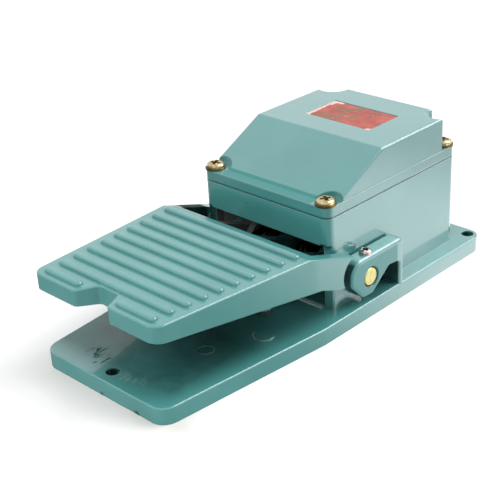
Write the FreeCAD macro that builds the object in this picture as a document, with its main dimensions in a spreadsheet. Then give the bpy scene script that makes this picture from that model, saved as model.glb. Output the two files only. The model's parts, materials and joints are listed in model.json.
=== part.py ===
"""Industrial foot switch in cast aluminium: base with switch housing, cover and sprung treadle.

Frame: millimetres, Z up, front edge of the treadle towards -Y, origin at the middle of the
base's underside. Each separate piece of the product goes to parts/ as its own file.
"""
import FreeCAD, Part
import math
import os
from types import SimpleNamespace

import Sketcher

# Driving dimensions, in millimetres and degrees

SIZES = {
    "base_length": 240.0,
    "base_front_width": 87.0,
    "base_rear_width": 106.6,
    "base_taper": 101.0,
    "base_height": 9.0,
    "base_front_corner": 8.5,
    "base_rear_corner": 7.5,
    "base_edge": 0.8,
    "underside_depth": 3.4,
    "rim_width": 5.0,
    "web_width": 3.0,
    "mount_hole": 7.0,
    "mount_boss": 14.0,
    "front_hole_inset": 8.0,
    "rear_hole_inset": 6.0,
    "rear_hole_side_inset": 6.3,
    "mark_diameter": 8.0,
    "mark_depth": 0.4,
    "mark_setback": 50.0,
    "mark_offset": 20.5,
    "housing_width": 88.0,
    "housing_length": 108.6,
    "housing_setback": 115.7,
    "housing_corner": 5.0,
    "housing_wall": 4.0,
    "seam_height": 60.3,
    "cheek_wall": 5.5,
    "arch_height": 45.4,
    "arch_depth": 46.3,
    "arch_corner": 4.0,
    "front_overhang": 3.0,
    "chamber_floor": 3.6,
    "bulkhead": 4.0,
    "sill_height": 1.6,
    "sill_depth": 3.0,
    "cover_screw_inset_x": 5.3,
    "cover_screw_inset_y": 4.75,
    "screw_boss": 11.2,
    "cover_thread": 5.0,
    "cover_thread_depth": 12.0,
    "thread_clearance": 0.05,
    "gasket_thickness": 0.8,
    "gasket_inset": 0.4,
    "gasket_width": 3.4,
    "flange_height": 5.4,
    "cover_ledge": 6.5,
    "cover_side_step": 0.5,
    "slope_run": 37.4,
    "total_height": 84.8,
    "cover_rear_lean": 1.0,
    "cover_rear_step": 2.3,
    "cover_wall": 3.0,
    "cover_edge": 1.5,
    "slope_wall_run": 3.6,
    "pocket_radius": 9.0,
    "label_width": 44.4,
    "label_length": 26.0,
    "label_setback": 72.5,
    "label_recess": 0.8,
    "label_thickness": 0.5,
    "label_clearance": 0.2,
    "label_corner": 1.0,
    "screw_head": 9.6,
    "screw_head_height": 2.4,
    "washer_diameter": 11.0,
    "washer_thickness": 0.9,
    "cross_width": 1.1,
    "cross_depth": 1.5,
    "pivot_setback": 138.2,
    "pivot_height": 23.2,
    "shaft_diameter": 10.0,
    "shaft_recess": 0.4,
    "shaft_chamfer": 0.5,
    "running_clearance": 0.03,
    "bore_mouth": 12.0,
    "bore_mouth_depth": 0.8,
    "lug_top": 35.7,
    "lug_rear_setback": 165.3,
    "lug_leg": 3.6,
    "lug_edge": 1.6,
    "lug_gap": 1.2,
    "lug_gap_depth": 3.0,
    "window_top": 22.6,
    "window_front": 3.5,
    "window_shoulder": 15.0,
    "window_corner": 1.5,
    "lug_nose": 15.5,
    "lug_nose_lean": 0.5,
    "lug_front_corner": 9.0,
    "lug_rear_corner": 3.0,
    "lug_belly_drop": 10.2,
    "lug_belly_front": 6.0,
    "lug_belly_rear": 1.5,
    "lug_belly_corner": 5.0,
    "lug_belly_rear_corner": 4.0,
    "lug_shoulder": 15.1,
    "lug_shoulder_rise": 0.9,
    "shaft_screw_head": 6.6,
    "shaft_screw_head_height": 2.2,
    "shaft_screw_thread": 4.0,
    "shaft_screw_cross": 0.8,
    "treadle_front_width": 87.6,
    "treadle_side_inset": 0.5,
    "treadle_taper": 97.0,
    "treadle_front_height": 52.3,
    "treadle_rear_height": 50.8,
    "treadle_crease": 92.8,
    "treadle_plate_length": 100.3,
    "treadle_front_wall": 8.5,
    "treadle_plate": 3.6,
    "treadle_crease_corner": 3.0,
    "inside_corner": 3.0,
    "inside_notch_corner": 2.0,
    "inside_rear_drop": 2.6,
    "treadle_front_corner": 6.5,
    "treadle_bend": 40.0,
    "treadle_edge": 0.9,
    "skirt_front": 3.5,
    "arm_gap": 2.0,
    "skirt_knee_setback": 99.7,
    "skirt_knee_height": 31.4,
    "skirt_knee_corner": 8.0,
    "arm_tip_setback": 125.5,
    "arm_tip_height": 39.8,
    "arm_heel_setback": 115.0,
    "arm_heel_height": 25.2,
    "arm_end_radius": 10.2,
    "arm_end_setback": 126.9,
    "arm_end_height": 29.7,
    "notch_front_width": 24.0,
    "notch_back_width": 13.2,
    "notch_depth": 11.2,
    "notch_corner": 2.5,
    "tread_rib_count": 10.0,
    "tread_rib_width": 4.4,
    "tread_rib_height": 1.8,
    "tread_rib_edge": 1.3,
    "tread_rib_margin": 5.0,
    "tread_rib_first": 5.4,
    "tread_rib_pitch": 9.4,
    "hub_radius": 10.0,
    "hub_length": 14.0,
    "hub_rib_width": 6.0,
    "hub_rib_height": 5.5,
    "hub_rib_start": 14.0,
    "cam_rib_start": 18.0,
    "rib_knee_run": 6.0,
    "rib_knee_lift": 0.8,
    "hub_chord_run": 6.0,
    "hub_chord_drop": 7.0,
    "hub_crown": 9.0,
    "rib_neck_run": 8.0,
    "rib_neck_corner": 4.0,
    "rib_root_run": 1.5,
    "rib_root_drop": 2.5,
    "heel_lead": 4.0,
    "heel_rise": 1.0,
    "heel_corner": 1.0,
    "heel_height": 6.0,
    "heel_shoulder": 2.0,
    "thrust_gap": 1.3,
    "thrust_washer_thickness": 1.0,
    "thrust_inset": 1.0,
    "bush_wall": 1.5,
    "cam_width": 9.0,
    "cam_reach": 17.0,
    "cam_rise": 8.0,
    "cam_radius": 4.0,
    "cam_back": 1.5,
    "cam_under": 3.6,
    "cam_clearance": 0.15,
    "press_angle": 11.0,
    "stop_offset": 33.4,
    "stop_setback": 77.7,
    "stop_diameter": 9.4,
    "stop_height": 3.0,
    "stop_stem": 5.0,
    "stop_stem_length": 6.0,
    "stop_ease": 0.8,
    "stop_pad_diameter": 11.0,
    "stop_pad_height": 0.6,
    "pillar_draft": 1.2,
    "stop_gap": 0.3,
    "rest_stop_offset": 30.2,
    "rest_stop_setback": 153.0,
    "rest_stop_height": 3.0,
    "rest_stop_diameter": 9.0,
    "spring_wire": 2.2,
    "spring_radius": 7.6,
    "spring_turns": 3.0,
    "spring_pitch": 3.1,
    "spring_leg_run": 14.0,
    "spring_foot_gap": 0.15,
    "spring_top_gap": 0.7,
    "plunger_diameter": 6.0,
    "plunger_head": 8.0,
    "plunger_head_height": 2.4,
    "plunger_gap": 0.3,
    "plunger_foot_ease": 0.8,
    "plunger_head_ease": 0.3,
    "guide_diameter": 12.0,
    "guide_flange": 17.0,
    "guide_flange_height": 2.5,
    "guide_nose": 2.0,
    "guide_ease": 0.8,
    "seal_diameter": 9.2,
    "seal_height": 1.5,
    "block_width": 38.0,
    "block_length": 24.0,
    "block_height": 17.0,
    "block_side_wall": 5.0,
    "block_end_wall": 2.5,
    "block_lid": 2.5,
    "tower_diameter": 11.0,
    "tower_height": 4.5,
    "tower_wall": 1.6,
    "carrier_width": 10.0,
    "carrier_length": 17.0,
    "carrier_height": 6.2,
    "carrier_rest": 6.5,
    "peg_height": 1.5,
    "peg_clearance": 0.2,
    "bridge_length": 26.0,
    "bridge_width": 5.0,
    "bridge_thickness": 0.8,
    "bridge_offset": 5.5,
    "bridge_lift": 2.4,
    "contact_diameter": 4.0,
    "contact_height": 0.8,
    "contact_span": 22.0,
    "contact_rest_gap": 0.1,
    "contact_travel": 3.3,
    "terminal_width": 6.0,
    "terminal_thickness": 1.0,
    "terminal_reach": 8.0,
    "terminal_screw_head": 5.4,
    "terminal_screw_head_height": 1.8,
    "terminal_screw_thread": 3.0,
    "terminal_screw_length": 4.0,
    "block_screw_thread": 3.0,
    "block_screw_bite": 2.8,
    "carrier_spring_wire": 0.6,
    "carrier_spring_radius": 2.8,
    "carrier_spring_turns": 4.0,
    "earth_boss": 11.0,
    "earth_boss_height": 5.0,
    "earth_setback": 196.0,
    "earth_thread": 4.0,
    "earth_screw_head": 7.0,
    "earth_washer": 9.0,
    "earth_washer_thickness": 1.0,
    "entry_height": 36.0,
    "entry_thread": 20.0,
    "gland_flats": 24.0,
    "gland_collar": 4.0,
    "gland_bore": 12.0,
    "gland_tail": 8.0,
    "gland_neck": 16.0,
    "gland_neck_length": 8.0,
    "gland_nut_flats": 22.0,
    "gland_nut_length": 11.0,
    "gland_nut_hex": 7.0,
    "gland_nut_ease": 0.6,
    "gland_nut_crown": 3.4,
    "gland_mouth": 9.4,
    "cable_bore": 8.0,
    "locknut_thickness": 4.0,
}


class Rule:
    """A size with the sheet formula that gives it, so that arithmetic keeps both."""

    def __init__(self, formula, value):
        self.formula = formula
        self.value = value

    def __add__(self, other):
        return joined(self, "+", other, self.value + number(other))

    def __sub__(self, other):
        return joined(self, "-", other, self.value - number(other))

    def __mul__(self, other):
        return joined(self, "*", other, self.value * number(other))

    def __truediv__(self, other):
        return joined(self, "/", other, self.value / number(other))

    def __radd__(self, other):
        return joined(other, "+", self, number(other) + self.value)

    def __rsub__(self, other):
        return joined(other, "-", self, number(other) - self.value)

    def __rmul__(self, other):
        return joined(other, "*", self, number(other) * self.value)

    def __neg__(self):
        return joined(0.0, "-", self, -self.value)


def number(amount):
    """Plain number of a rule or a number."""
    return amount.value if isinstance(amount, Rule) else float(amount)


def formula(amount):
    """Sheet formula of a rule or a number."""
    return amount.formula if isinstance(amount, Rule) else repr(float(amount))


def joined(left, sign, right, value):
    """Rule for two amounts with an arithmetic sign between them."""
    return Rule("(%s %s %s)" % (formula(left), sign, formula(right)), value)


def sine(angle):
    """Sine of an angle in degrees, as a rule."""
    return Rule("sin(%s)" % formula(angle), math.sin(math.radians(number(angle))))


def cosine(angle):
    """Cosine of an angle in degrees, as a rule."""
    return Rule("cos(%s)" % formula(angle), math.cos(math.radians(number(angle))))


doc = FreeCAD.newDocument("FootSwitch")
sheet = doc.addObject("Spreadsheet::Sheet", "Sizes")
for row, (alias, amount) in enumerate(SIZES.items(), start=1):
    sheet.set("A%d" % row, alias)
    sheet.set("B%d" % row, str(amount))
    sheet.setAlias("B%d" % row, alias)
doc.recompute()
size = SimpleNamespace(**{alias: Rule("Sizes." + alias, amount) for alias, amount in SIZES.items()})

# Directions and drawing planes

X_AXIS = FreeCAD.Vector(1, 0, 0)
Y_AXIS = FreeCAD.Vector(0, 1, 0)
Z_AXIS = FreeCAD.Vector(0, 0, 1)
UPRIGHT = FreeCAD.Rotation()
ALONG_X = FreeCAD.Rotation(Z_AXIS, X_AXIS)
ALONG_Y = FreeCAD.Rotation(Z_AXIS, Y_AXIS)
PLANES = {
    "XY": FreeCAD.Rotation(),
    "XZ": FreeCAD.Rotation(X_AXIS, 90),
    "YZ": FreeCAD.Rotation(0.5, 0.5, 0.5, 0.5),
}
PAST = 1.0
MARGIN = 0.01
MIDDLE = 0.0
GROUND = 0.0
FULL_ROUND = 0.98
EASE_MIDDLE = 0.3
HEAD_DOME = 0.45
HEAD_FLAT = 0.28
CROSS_REACH = 0.27
WIRE_SIDES = 8
POINTS_PER_TURN = 48


def bind(obj, rules):
    """Tie properties of an object to the sheet."""
    for path, amount in rules.items():
        obj.setExpression(path, formula(amount))
    return obj


def place(obj, spot, rotation=UPRIGHT):
    """Turn an object and tie its place to the sheet."""
    obj.Placement = FreeCAD.Placement(FreeCAD.Vector(*[number(part) for part in spot]), rotation)
    paths = (".Placement.Base.x", ".Placement.Base.y", ".Placement.Base.z")
    return bind(obj, dict(zip(paths, spot)))


def block(name, low, high):
    """Box between two opposite corners."""
    obj = doc.addObject("Part::Box", name)
    lengths = [top - bottom for bottom, top in zip(low, high)]
    bind(obj, dict(zip(("Length", "Width", "Height"), lengths)))
    return place(obj, low)


def rod(name, radius, length, spot, rotation=UPRIGHT):
    """Cylinder that starts at a spot and runs along the turned Z axis."""
    obj = doc.addObject("Part::Cylinder", name)
    bind(obj, {"Radius": radius, "Height": length})
    return place(obj, spot, rotation)


def cone(name, first, last, length, spot, rotation=UPRIGHT):
    """Truncated cone from its first radius to its last."""
    obj = doc.addObject("Part::Cone", name)
    bind(obj, {"Radius1": first, "Radius2": last, "Height": length})
    return place(obj, spot, rotation)


def draw(sketch, outline):
    """Draw a closed outline of (across, up) or (across, up, corner radius) points."""
    count = len(outline)
    spots = [FreeCAD.Vector(number(point[0]), number(point[1]), 0) for point in outline]
    leaves, joins, rounds = [], [], {}
    for index, point in enumerate(outline):
        spot = spots[index]
        back = (spots[index - 1] - spot).normalize()
        ahead = (spots[(index + 1) % count] - spot).normalize()
        if len(point) == 2:
            joins.append(spot)
            leaves.append(spot)
            continue
        radius = number(point[2])
        half = back.getAngle(ahead) / 2
        middle = spot + (back + ahead).normalize() * (radius / math.sin(half))
        joins.append(spot + back * (radius / math.tan(half)))
        leaves.append(spot + ahead * (radius / math.tan(half)))
        turns_left = (back * -1).cross(ahead).z > 0
        rounds[index] = (middle, radius, turns_left)
    for index in range(count):
        ahead = (index + 1) % count
        sketch.addGeometry(Part.LineSegment(leaves[index], joins[ahead]), False)
    for index, point in enumerate(outline):
        side_in = (index - 1) % count
        if index not in rounds:
            sketch.addConstraint(Sketcher.Constraint("Coincident", side_in, 2, index, 1))
            held = (index, 1)
        else:
            held = (round_corner(sketch, spots[index], joins[index], leaves[index],
                                 rounds[index], side_in, index, point[2]), 1)
        for kind, amount in (("DistanceX", point[0]), ("DistanceY", point[1])):
            tie = Sketcher.Constraint(kind, -1, 1, held[0], held[1], number(amount))
            bind_constraint(sketch, tie, amount)


def round_corner(sketch, spot, join, leave, arc, side_in, side_out, radius):
    """Round one corner of an outline and return the point that keeps its sharp place."""
    middle, reach, turns_left = arc
    first, last = (join, leave) if turns_left else (leave, join)
    start = math.atan2(first.y - middle.y, first.x - middle.x)
    end = math.atan2(last.y - middle.y, last.x - middle.x)
    end += 2 * math.pi if end < start else 0
    circle = Part.Circle(middle, Z_AXIS, reach)
    bow = sketch.addGeometry(Part.ArcOfCircle(circle, start, end), False)
    mark = sketch.addGeometry(Part.Point(spot), True)
    enter, leave_end = (1, 2) if turns_left else (2, 1)
    sketch.addConstraint(Sketcher.Constraint("Tangent", side_in, 2, bow, enter))
    sketch.addConstraint(Sketcher.Constraint("Tangent", side_out, 1, bow, leave_end))
    sketch.addConstraint(Sketcher.Constraint("PointOnObject", mark, 1, side_in))
    sketch.addConstraint(Sketcher.Constraint("PointOnObject", mark, 1, side_out))
    bind_constraint(sketch, Sketcher.Constraint("Radius", bow, reach), radius)
    return mark


def bind_constraint(sketch, tie, amount):
    """Add one measure to a sketch and tie it to the sheet."""
    index = sketch.addConstraint(tie)
    if isinstance(amount, Rule):
        sketch.setExpression("Constraints[%d]" % index, amount.formula)


def prism(name, plane, outline, low, high):
    """Outline drawn on a plane and extruded between two heights over it."""
    sketch = doc.addObject("Sketcher::SketchObject", name + "Outline")
    spots = {"XY": (0, 0, low), "YZ": (low, 0, 0), "XZ": (0, high, 0)}
    draw(sketch, outline)
    place(sketch, spots[plane], PLANES[plane])
    obj = doc.addObject("Part::Extrusion", name)
    obj.Base = sketch
    obj.DirMode = "Normal"
    obj.Solid = True
    return bind(obj, {"LengthFwd": high - low})


def turned(name, outline, spot, rotation=UPRIGHT):
    """Body revolved round its own Z axis from (radius, height) points."""
    body = doc.addObject("PartDesign::Body", name)
    roles = {feature.Role: feature for feature in body.Origin.OriginFeatures}
    sketch = body.newObject("Sketcher::SketchObject", name + "Section")
    sketch.AttachmentSupport = (roles["XZ_Plane"], [""])
    sketch.MapMode = "FlatFace"
    draw(sketch, outline)
    turn = body.newObject("PartDesign::Revolution", name + "Turn")
    turn.Profile = sketch
    turn.ReferenceAxis = (sketch, ["V_Axis"])
    turn.Angle = 360.0
    place(body, spot, rotation)
    return body


def fused(name, pieces):
    """Pieces of one casting or moulding joined."""
    obj = doc.addObject("Part::MultiFuse", name)
    obj.Shapes = pieces
    obj.Refine = True
    return obj


def cut(name, base, tools):
    """Base with the tools taken away."""
    tool = tools[0]
    if len(tools) > 1:
        tool = doc.addObject("Part::MultiFuse", name + "Tools")
        tool.Shapes = tools
    obj = doc.addObject("Part::Cut", name)
    obj.Base = base
    obj.Tool = tool
    obj.Refine = True
    return obj


def shared(name, first, second):
    """Space that two solids have in common."""
    obj = doc.addObject("Part::MultiCommon", name)
    obj.Shapes = [first, second]
    return obj


def mirrored(name, source, normal=X_AXIS, base=None):
    """Mirror image of an object in a plane across X or Y."""
    obj = doc.addObject("Part::Mirroring", name)
    obj.Source = source
    obj.Normal = normal
    if base is not None:
        bind(obj, {".Base.y": base})
    return obj


def group(name, pieces):
    """Several like solids kept together as one node."""
    obj = doc.addObject("Part::Compound", name)
    obj.Links = pieces
    return obj


def rounded(name, base, radius, wanted):
    """Base with the wanted edges rounded."""
    doc.recompute()
    edges = enumerate(base.Shape.Edges, start=1)
    picked = [index for index, edge in edges if wanted(edge.BoundBox)]
    obj = doc.addObject("Part::Fillet", name)
    obj.Base = base
    obj.Edges = [(index, number(radius), number(radius)) for index in picked]
    return obj


def level(height):
    """Test for edges that lie at one height."""
    return lambda box: abs(box.ZMin - number(height)) < MARGIN and box.ZLength < MARGIN


def six_sided(name, flats, length, spot, rotation=UPRIGHT):
    """Hexagonal bar over its flats."""
    obj = doc.addObject("Part::Prism", name)
    obj.Polygon = 6
    bind(obj, {"Circumradius": flats / 2 / cosine(30.0), "Height": length})
    return place(obj, spot, rotation)


def eased(radius, top, run, rise):
    """Outline points of a turned edge that two flats ease, from its side up to its top."""
    return [(radius, top - rise), (radius - run * EASE_MIDDLE, top - rise * EASE_MIDDLE), (radius - run, top)]


def cross_screw(name, head, rise, thread, length, cross, spot):
    """Pan-head screw with a cross recess, its head standing on the spot."""
    shank = [(0.0, -length), (thread / 2, -length), (thread / 2, 0.0), (head / 2, 0.0)]
    dome = eased(head / 2, rise, head / 2 - head * HEAD_FLAT, rise * HEAD_DOME)
    screw = turned(name + "Blank", shank + dome + [(0.0, rise)], (0.0, 0.0, 0.0))
    half = head * CROSS_REACH
    depth = size.cross_depth * head / size.screw_head
    bars = [block(name + "SlotAcross", (-half, -cross / 2, rise - depth), (half, cross / 2, rise + PAST)),
            block(name + "SlotAlong", (-cross / 2, -half, rise - depth), (cross / 2, half, rise + PAST))]
    obj = cut(name, screw, bars)
    return place(obj, spot)


# Places worked out from the driving dimensions

front = -(size.base_length / 2)
rear = size.base_length / 2
taper_end = front + size.base_taper
half_front = size.base_front_width / 2
half_rear = size.base_rear_width / 2
half_house = size.housing_width / 2
house_front = front + size.housing_setback
house_rear = house_front + size.housing_length
half_cheek = half_house - size.cheek_wall
chamber_half = half_house - size.housing_wall
arch_rear = house_front + size.arch_depth
room_front = arch_rear + size.bulkhead
room_rear = house_rear - size.housing_wall
chamber_front = house_front + size.housing_wall
chamber_base = size.arch_height + size.chamber_floor
pivot_y = front + size.pivot_setback
screw_x = half_house - size.cover_screw_inset_x
screw_front_y = house_front + size.cover_screw_inset_y
house_middle = house_front + size.housing_length / 2
cover_base = size.seam_height + size.gasket_thickness
flange_top = cover_base + size.flange_height
plunger_y = pivot_y + size.cam_reach
bore_radius = size.shaft_diameter / 2 + size.running_clearance
rear_hole_x = half_rear - size.rear_hole_side_inset

# Base and switch housing, one casting

plate_blank = prism("Plate", "XY", [
    (-half_front, front, size.base_front_corner), (half_front, front, size.base_front_corner),
    (half_rear, taper_end), (half_rear, rear, size.base_rear_corner),
    (-half_rear, rear, size.base_rear_corner), (-half_rear, taper_end)], GROUND, size.base_height)
plate = rounded("PlateEdge", plate_blank, size.base_edge, level(size.base_height))

inner_front = half_front - size.rim_width
inner_rear = half_rear - size.rim_width
hollow = prism("UndersideHollow", "XY", [
    (-inner_front, front + size.rim_width, size.rim_width),
    (inner_front, front + size.rim_width, size.rim_width),
    (inner_rear, taper_end), (inner_rear, rear - size.rim_width, size.rim_width),
    (-inner_rear, rear - size.rim_width, size.rim_width), (-inner_rear, taper_end)],
    GROUND - PAST, size.underside_depth)
half_web = size.web_width / 2
webs = [block("WebLengthwise%d" % index, (across - half_web, front, GROUND - PAST),
              (across + half_web, rear, size.underside_depth + PAST))
        for index, across in enumerate((-half_front / 2, half_front / 2))]
webs += [block("WebCrosswise%d" % index, (-half_rear, along - half_web, GROUND - PAST),
               (half_rear, along + half_web, size.underside_depth + PAST))
         for index, along in enumerate((front / 3 * 2, front / 3, MIDDLE, rear / 3, rear / 3 * 2))]
hole_spots = [(MIDDLE, front + size.front_hole_inset),
              (-rear_hole_x, rear - size.rear_hole_inset), (rear_hole_x, rear - size.rear_hole_inset)]
bosses = [rod("MountBoss%d" % index, size.mount_boss / 2, size.base_height, (across, along, -PAST))
          for index, (across, along) in enumerate(hole_spots)]
underside = cut("Underside", hollow, webs + bosses)

house = prism("HouseBox", "XY", [
    (-half_house, house_front, size.housing_corner), (half_house, house_front, size.housing_corner),
    (half_house, house_rear, size.housing_corner), (-half_house, house_rear, size.housing_corner)],
    size.base_height - PAST, size.seam_height)

leg_rear = front + size.lug_rear_setback
leg_front = leg_rear - size.lug_leg
nose_top = pivot_y - size.lug_nose
nose_tip = nose_top - size.lug_nose_lean
belly = size.pivot_height - size.lug_belly_drop
lug_blank = prism("LugRight", "YZ", [
    (leg_rear, size.base_height / 2), (leg_rear, size.lug_top, size.lug_rear_corner),
    (nose_top, size.lug_top, size.lug_front_corner), (nose_tip, size.pivot_height, size.lug_belly_corner),
    (pivot_y - size.lug_belly_front, belly, size.lug_belly_corner),
    (pivot_y + size.lug_belly_rear, belly, size.lug_belly_rear_corner),
    (pivot_y + size.lug_shoulder, size.window_top + size.lug_shoulder_rise, size.lug_rear_corner),
    (leg_front, size.window_top, size.window_corner), (leg_front, size.base_height / 2)],
    half_house - PAST, half_rear)


def lug_outline_edge(box):
    """Test for the edges round the lug's outer face, above the base plate."""
    return abs(box.XMin - number(half_rear)) < MARGIN and box.XLength < MARGIN \
        and box.ZMax > number(size.base_height)


lug = rounded("LugRightEdge", lug_blank, size.lug_edge, lug_outline_edge)
lug_left = mirrored("LugLeft", lug)

sill = rod("SillRound", size.sill_height, 2 * half_cheek,
           (-half_cheek, house_front + size.sill_depth / 2, size.base_height), ALONG_X)
casting = fused("CastingBlank", [plate, house, lug, lug_left])

arch = prism("Arch", "XZ", [
    (-half_cheek, size.base_height), (half_cheek, size.base_height),
    (half_cheek, size.arch_height, size.arch_corner), (-half_cheek, size.arch_height, size.arch_corner)],
    house_front - PAST, arch_rear)
overhang = block("FrontOverhang", (-half_house - PAST, house_front - PAST, size.base_height),
                 (half_house + PAST, house_front + size.front_overhang, size.arch_height))
chamber_end = (chamber_half, room_rear, size.seam_height + PAST)
chamber = block("Chamber", (-chamber_half, chamber_front, chamber_base), chamber_end)
room = block("WiringRoom", (-chamber_half, room_front, size.base_height), chamber_end)
hollowed = cut("CastingHollow", casting, [arch, overhang, chamber, room])

posts = []
for index, across in enumerate((-screw_x, screw_x)):
    posts.append(rod("ScrewPostFront%d" % index, size.screw_boss / 2, size.seam_height - size.arch_height,
                     (across, screw_front_y, size.arch_height)))
    posts.append(rod("ScrewPostRear%d" % index, size.screw_boss / 2, size.seam_height - size.base_height,
                     (across, 2 * house_middle - screw_front_y, size.base_height)))
outer_box = prism("PostLimit", "XY", [
    (-half_house, house_front, size.housing_corner), (half_house, house_front, size.housing_corner),
    (half_house, house_rear, size.housing_corner), (-half_house, house_rear, size.housing_corner)],
    size.base_height, size.seam_height)
kept_posts = shared("ScrewPosts", fused("ScrewPostsRaw", posts), outer_box)
earth_y = front + size.earth_setback
earth_post = rod("EarthPost", size.earth_boss / 2, size.earth_boss_height + PAST,
                 (MIDDLE, earth_y, size.base_height - PAST))
stop_y = front + size.stop_setback
pads = [rod("StopPad%d" % index, size.stop_pad_diameter / 2, size.stop_pad_height + PAST,
            (across, stop_y, size.base_height - PAST))
        for index, across in enumerate((-size.stop_offset, size.stop_offset))]
joined_casting = fused("CastingBosses", [hollowed, kept_posts, earth_post, sill] + pads)

drills = [rod("MountHole%d" % index, size.mount_hole / 2, size.base_height + 2 * PAST, (across, along, -PAST))
          for index, (across, along) in enumerate(hole_spots)]
tap = size.cover_thread / 2 + size.thread_clearance
for index, across in enumerate((-screw_x, screw_x)):
    for place_name, along in (("Front", screw_front_y), ("Rear", 2 * house_middle - screw_front_y)):
        drills.append(rod("CoverTap%s%d" % (place_name, index), tap, size.cover_thread_depth + PAST,
                          (across, along, size.seam_height - size.cover_thread_depth)))
drills.append(rod("ShaftBore", bore_radius, size.base_rear_width + 2 * PAST,
                  (-half_rear - PAST, pivot_y, size.pivot_height), ALONG_X))
mouth = rod("BoreMouthRight", size.bore_mouth / 2, size.bore_mouth_depth + PAST,
            (half_rear - size.bore_mouth_depth, pivot_y, size.pivot_height), ALONG_X)
lug_tap_x = (half_house + size.lug_gap + half_rear) / 2
lug_tap = rod("LugTapRight", size.shaft_screw_thread / 2 + size.thread_clearance,
              size.lug_top - size.pivot_height + PAST, (lug_tap_x, pivot_y, size.pivot_height))
slot_end = size.lug_gap / 2 * FULL_ROUND
lug_slot = prism("LugSlotRight", "XY", [
    (half_house, nose_tip - PAST), (half_house + size.lug_gap, nose_tip - PAST),
    (half_house + size.lug_gap, leg_front, slot_end), (half_house, leg_front, slot_end)],
    size.lug_top - size.lug_gap_depth, size.lug_top + PAST)
window_foot = size.base_height + PAST
window_roof = size.window_top - PAST
window = prism("CheekWindowRight", "YZ", [
    (pivot_y + size.window_front, window_foot, size.window_corner),
    (leg_front - PAST, window_foot, size.window_corner), (leg_front - PAST, window_roof, size.window_corner),
    (pivot_y + size.window_shoulder, window_roof, size.window_corner)],
    half_cheek - PAST, half_house + PAST)
right_cuts = [mouth, lug_tap, lug_slot, window]
drills += right_cuts
drills += [mirrored(tool.Name + "Mirrored", tool) for tool in right_cuts]
guide_hole = rod("GuideHole", size.guide_diameter / 2, size.chamber_floor + 2 * PAST,
                 (MIDDLE, plunger_y, size.arch_height - PAST))
drills.append(guide_hole)
block_screw_x = size.block_width / 2 - size.block_side_wall / 2
block_screw_hole = size.block_screw_thread / 2 + size.thread_clearance
for index, across in enumerate((-block_screw_x, block_screw_x)):
    drills.append(rod("BlockTap%d" % index, block_screw_hole, size.block_screw_bite + PAST,
                      (across, plunger_y, chamber_base - size.block_screw_bite)))
drills.append(rod("EarthTap", size.earth_thread / 2 + size.thread_clearance, size.earth_boss_height + PAST,
                  (MIDDLE, earth_y, size.base_height + PAST)))
drills.append(rod("EntryHole", size.entry_thread / 2, size.housing_wall + 2 * PAST,
                  (MIDDLE, room_rear - PAST, size.entry_height), ALONG_Y))
rest_stop_y = front + size.rest_stop_setback
mark_y = front + size.mark_setback
for index, side in enumerate((-1.0, 1.0)):
    drills.append(rod("RestStopHole%d" % index, size.stop_stem / 2, size.base_height,
                      (side * size.rest_stop_offset, rest_stop_y, size.underside_depth - PAST)))
    drills.append(rod("CastMark%d" % index, size.mark_diameter / 2, size.mark_depth + PAST,
                      (side * size.mark_offset, mark_y, size.base_height - size.mark_depth)))
base_housing = cut("base_housing", joined_casting, [underside] + drills)

# Cover, gasket and label

gasket_half = half_house - size.gasket_inset
gasket_front = house_front + size.gasket_inset
gasket_rear = house_rear - size.gasket_inset
gasket_corner = size.housing_corner - size.gasket_inset
gasket_plate = prism("GasketPlate", "XY", [
    (-gasket_half, gasket_front, gasket_corner), (gasket_half, gasket_front, gasket_corner),
    (gasket_half, gasket_rear, gasket_corner), (-gasket_half, gasket_rear, gasket_corner)],
    size.seam_height, cover_base)
window_half = gasket_half - size.gasket_width
gasket_window = block("GasketWindow",
                      (-window_half, gasket_front + size.gasket_width, size.seam_height - PAST),
                      (window_half, gasket_rear - size.gasket_width, cover_base + PAST))


def corner_rods(name, radius, low, high):
    """Four upright rods, one at each cover screw."""
    rods = []
    for index, across in enumerate((-screw_x, screw_x)):
        for place_name, along in (("Front", screw_front_y), ("Rear", 2 * house_middle - screw_front_y)):
            rods.append(rod(name + place_name + str(index), radius, high - low, (across, along, low)))
    return rods


gasket_pads = shared("GasketPads", fused("GasketPadsRaw", corner_rods(
    "GasketPad", size.screw_boss / 2, size.seam_height, cover_base)), prism("GasketLimit", "XY", [
        (-gasket_half, gasket_front, gasket_corner), (gasket_half, gasket_front, gasket_corner),
        (gasket_half, gasket_rear, gasket_corner), (-gasket_half, gasket_rear, gasket_corner)],
    size.seam_height, cover_base))
gasket_ring = cut("GasketRing", gasket_plate, [gasket_window])
cover_gasket = cut("cover_gasket", fused("GasketWithPads", [gasket_ring, gasket_pads]), corner_rods(
    "GasketHole", size.cover_thread / 2 + size.label_clearance, size.seam_height - PAST, cover_base + PAST))

flange = prism("Flange", "XY", [
    (-half_house, house_front, size.housing_corner), (half_house, house_front, size.housing_corner),
    (half_house, house_rear, size.housing_corner), (-half_house, house_rear, size.housing_corner)],
    cover_base, flange_top)
slope_start = house_front + size.cover_ledge
slope_end = slope_start + size.slope_run
dome_rear = house_rear - size.cover_rear_step
dome_half = half_house - size.cover_side_step
dome_blank = prism("Dome", "YZ", [
    (slope_start, flange_top - PAST), (dome_rear, flange_top - PAST), (dome_rear, flange_top),
    (dome_rear - size.cover_rear_lean, size.total_height), (slope_end, size.total_height),
    (slope_start, flange_top)],
    -dome_half, dome_half)
pockets = corner_rods("ScrewPocket", size.pocket_radius, flange_top, size.total_height + PAST)
dome_cut = cut("DomePockets", dome_blank, pockets)


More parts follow.
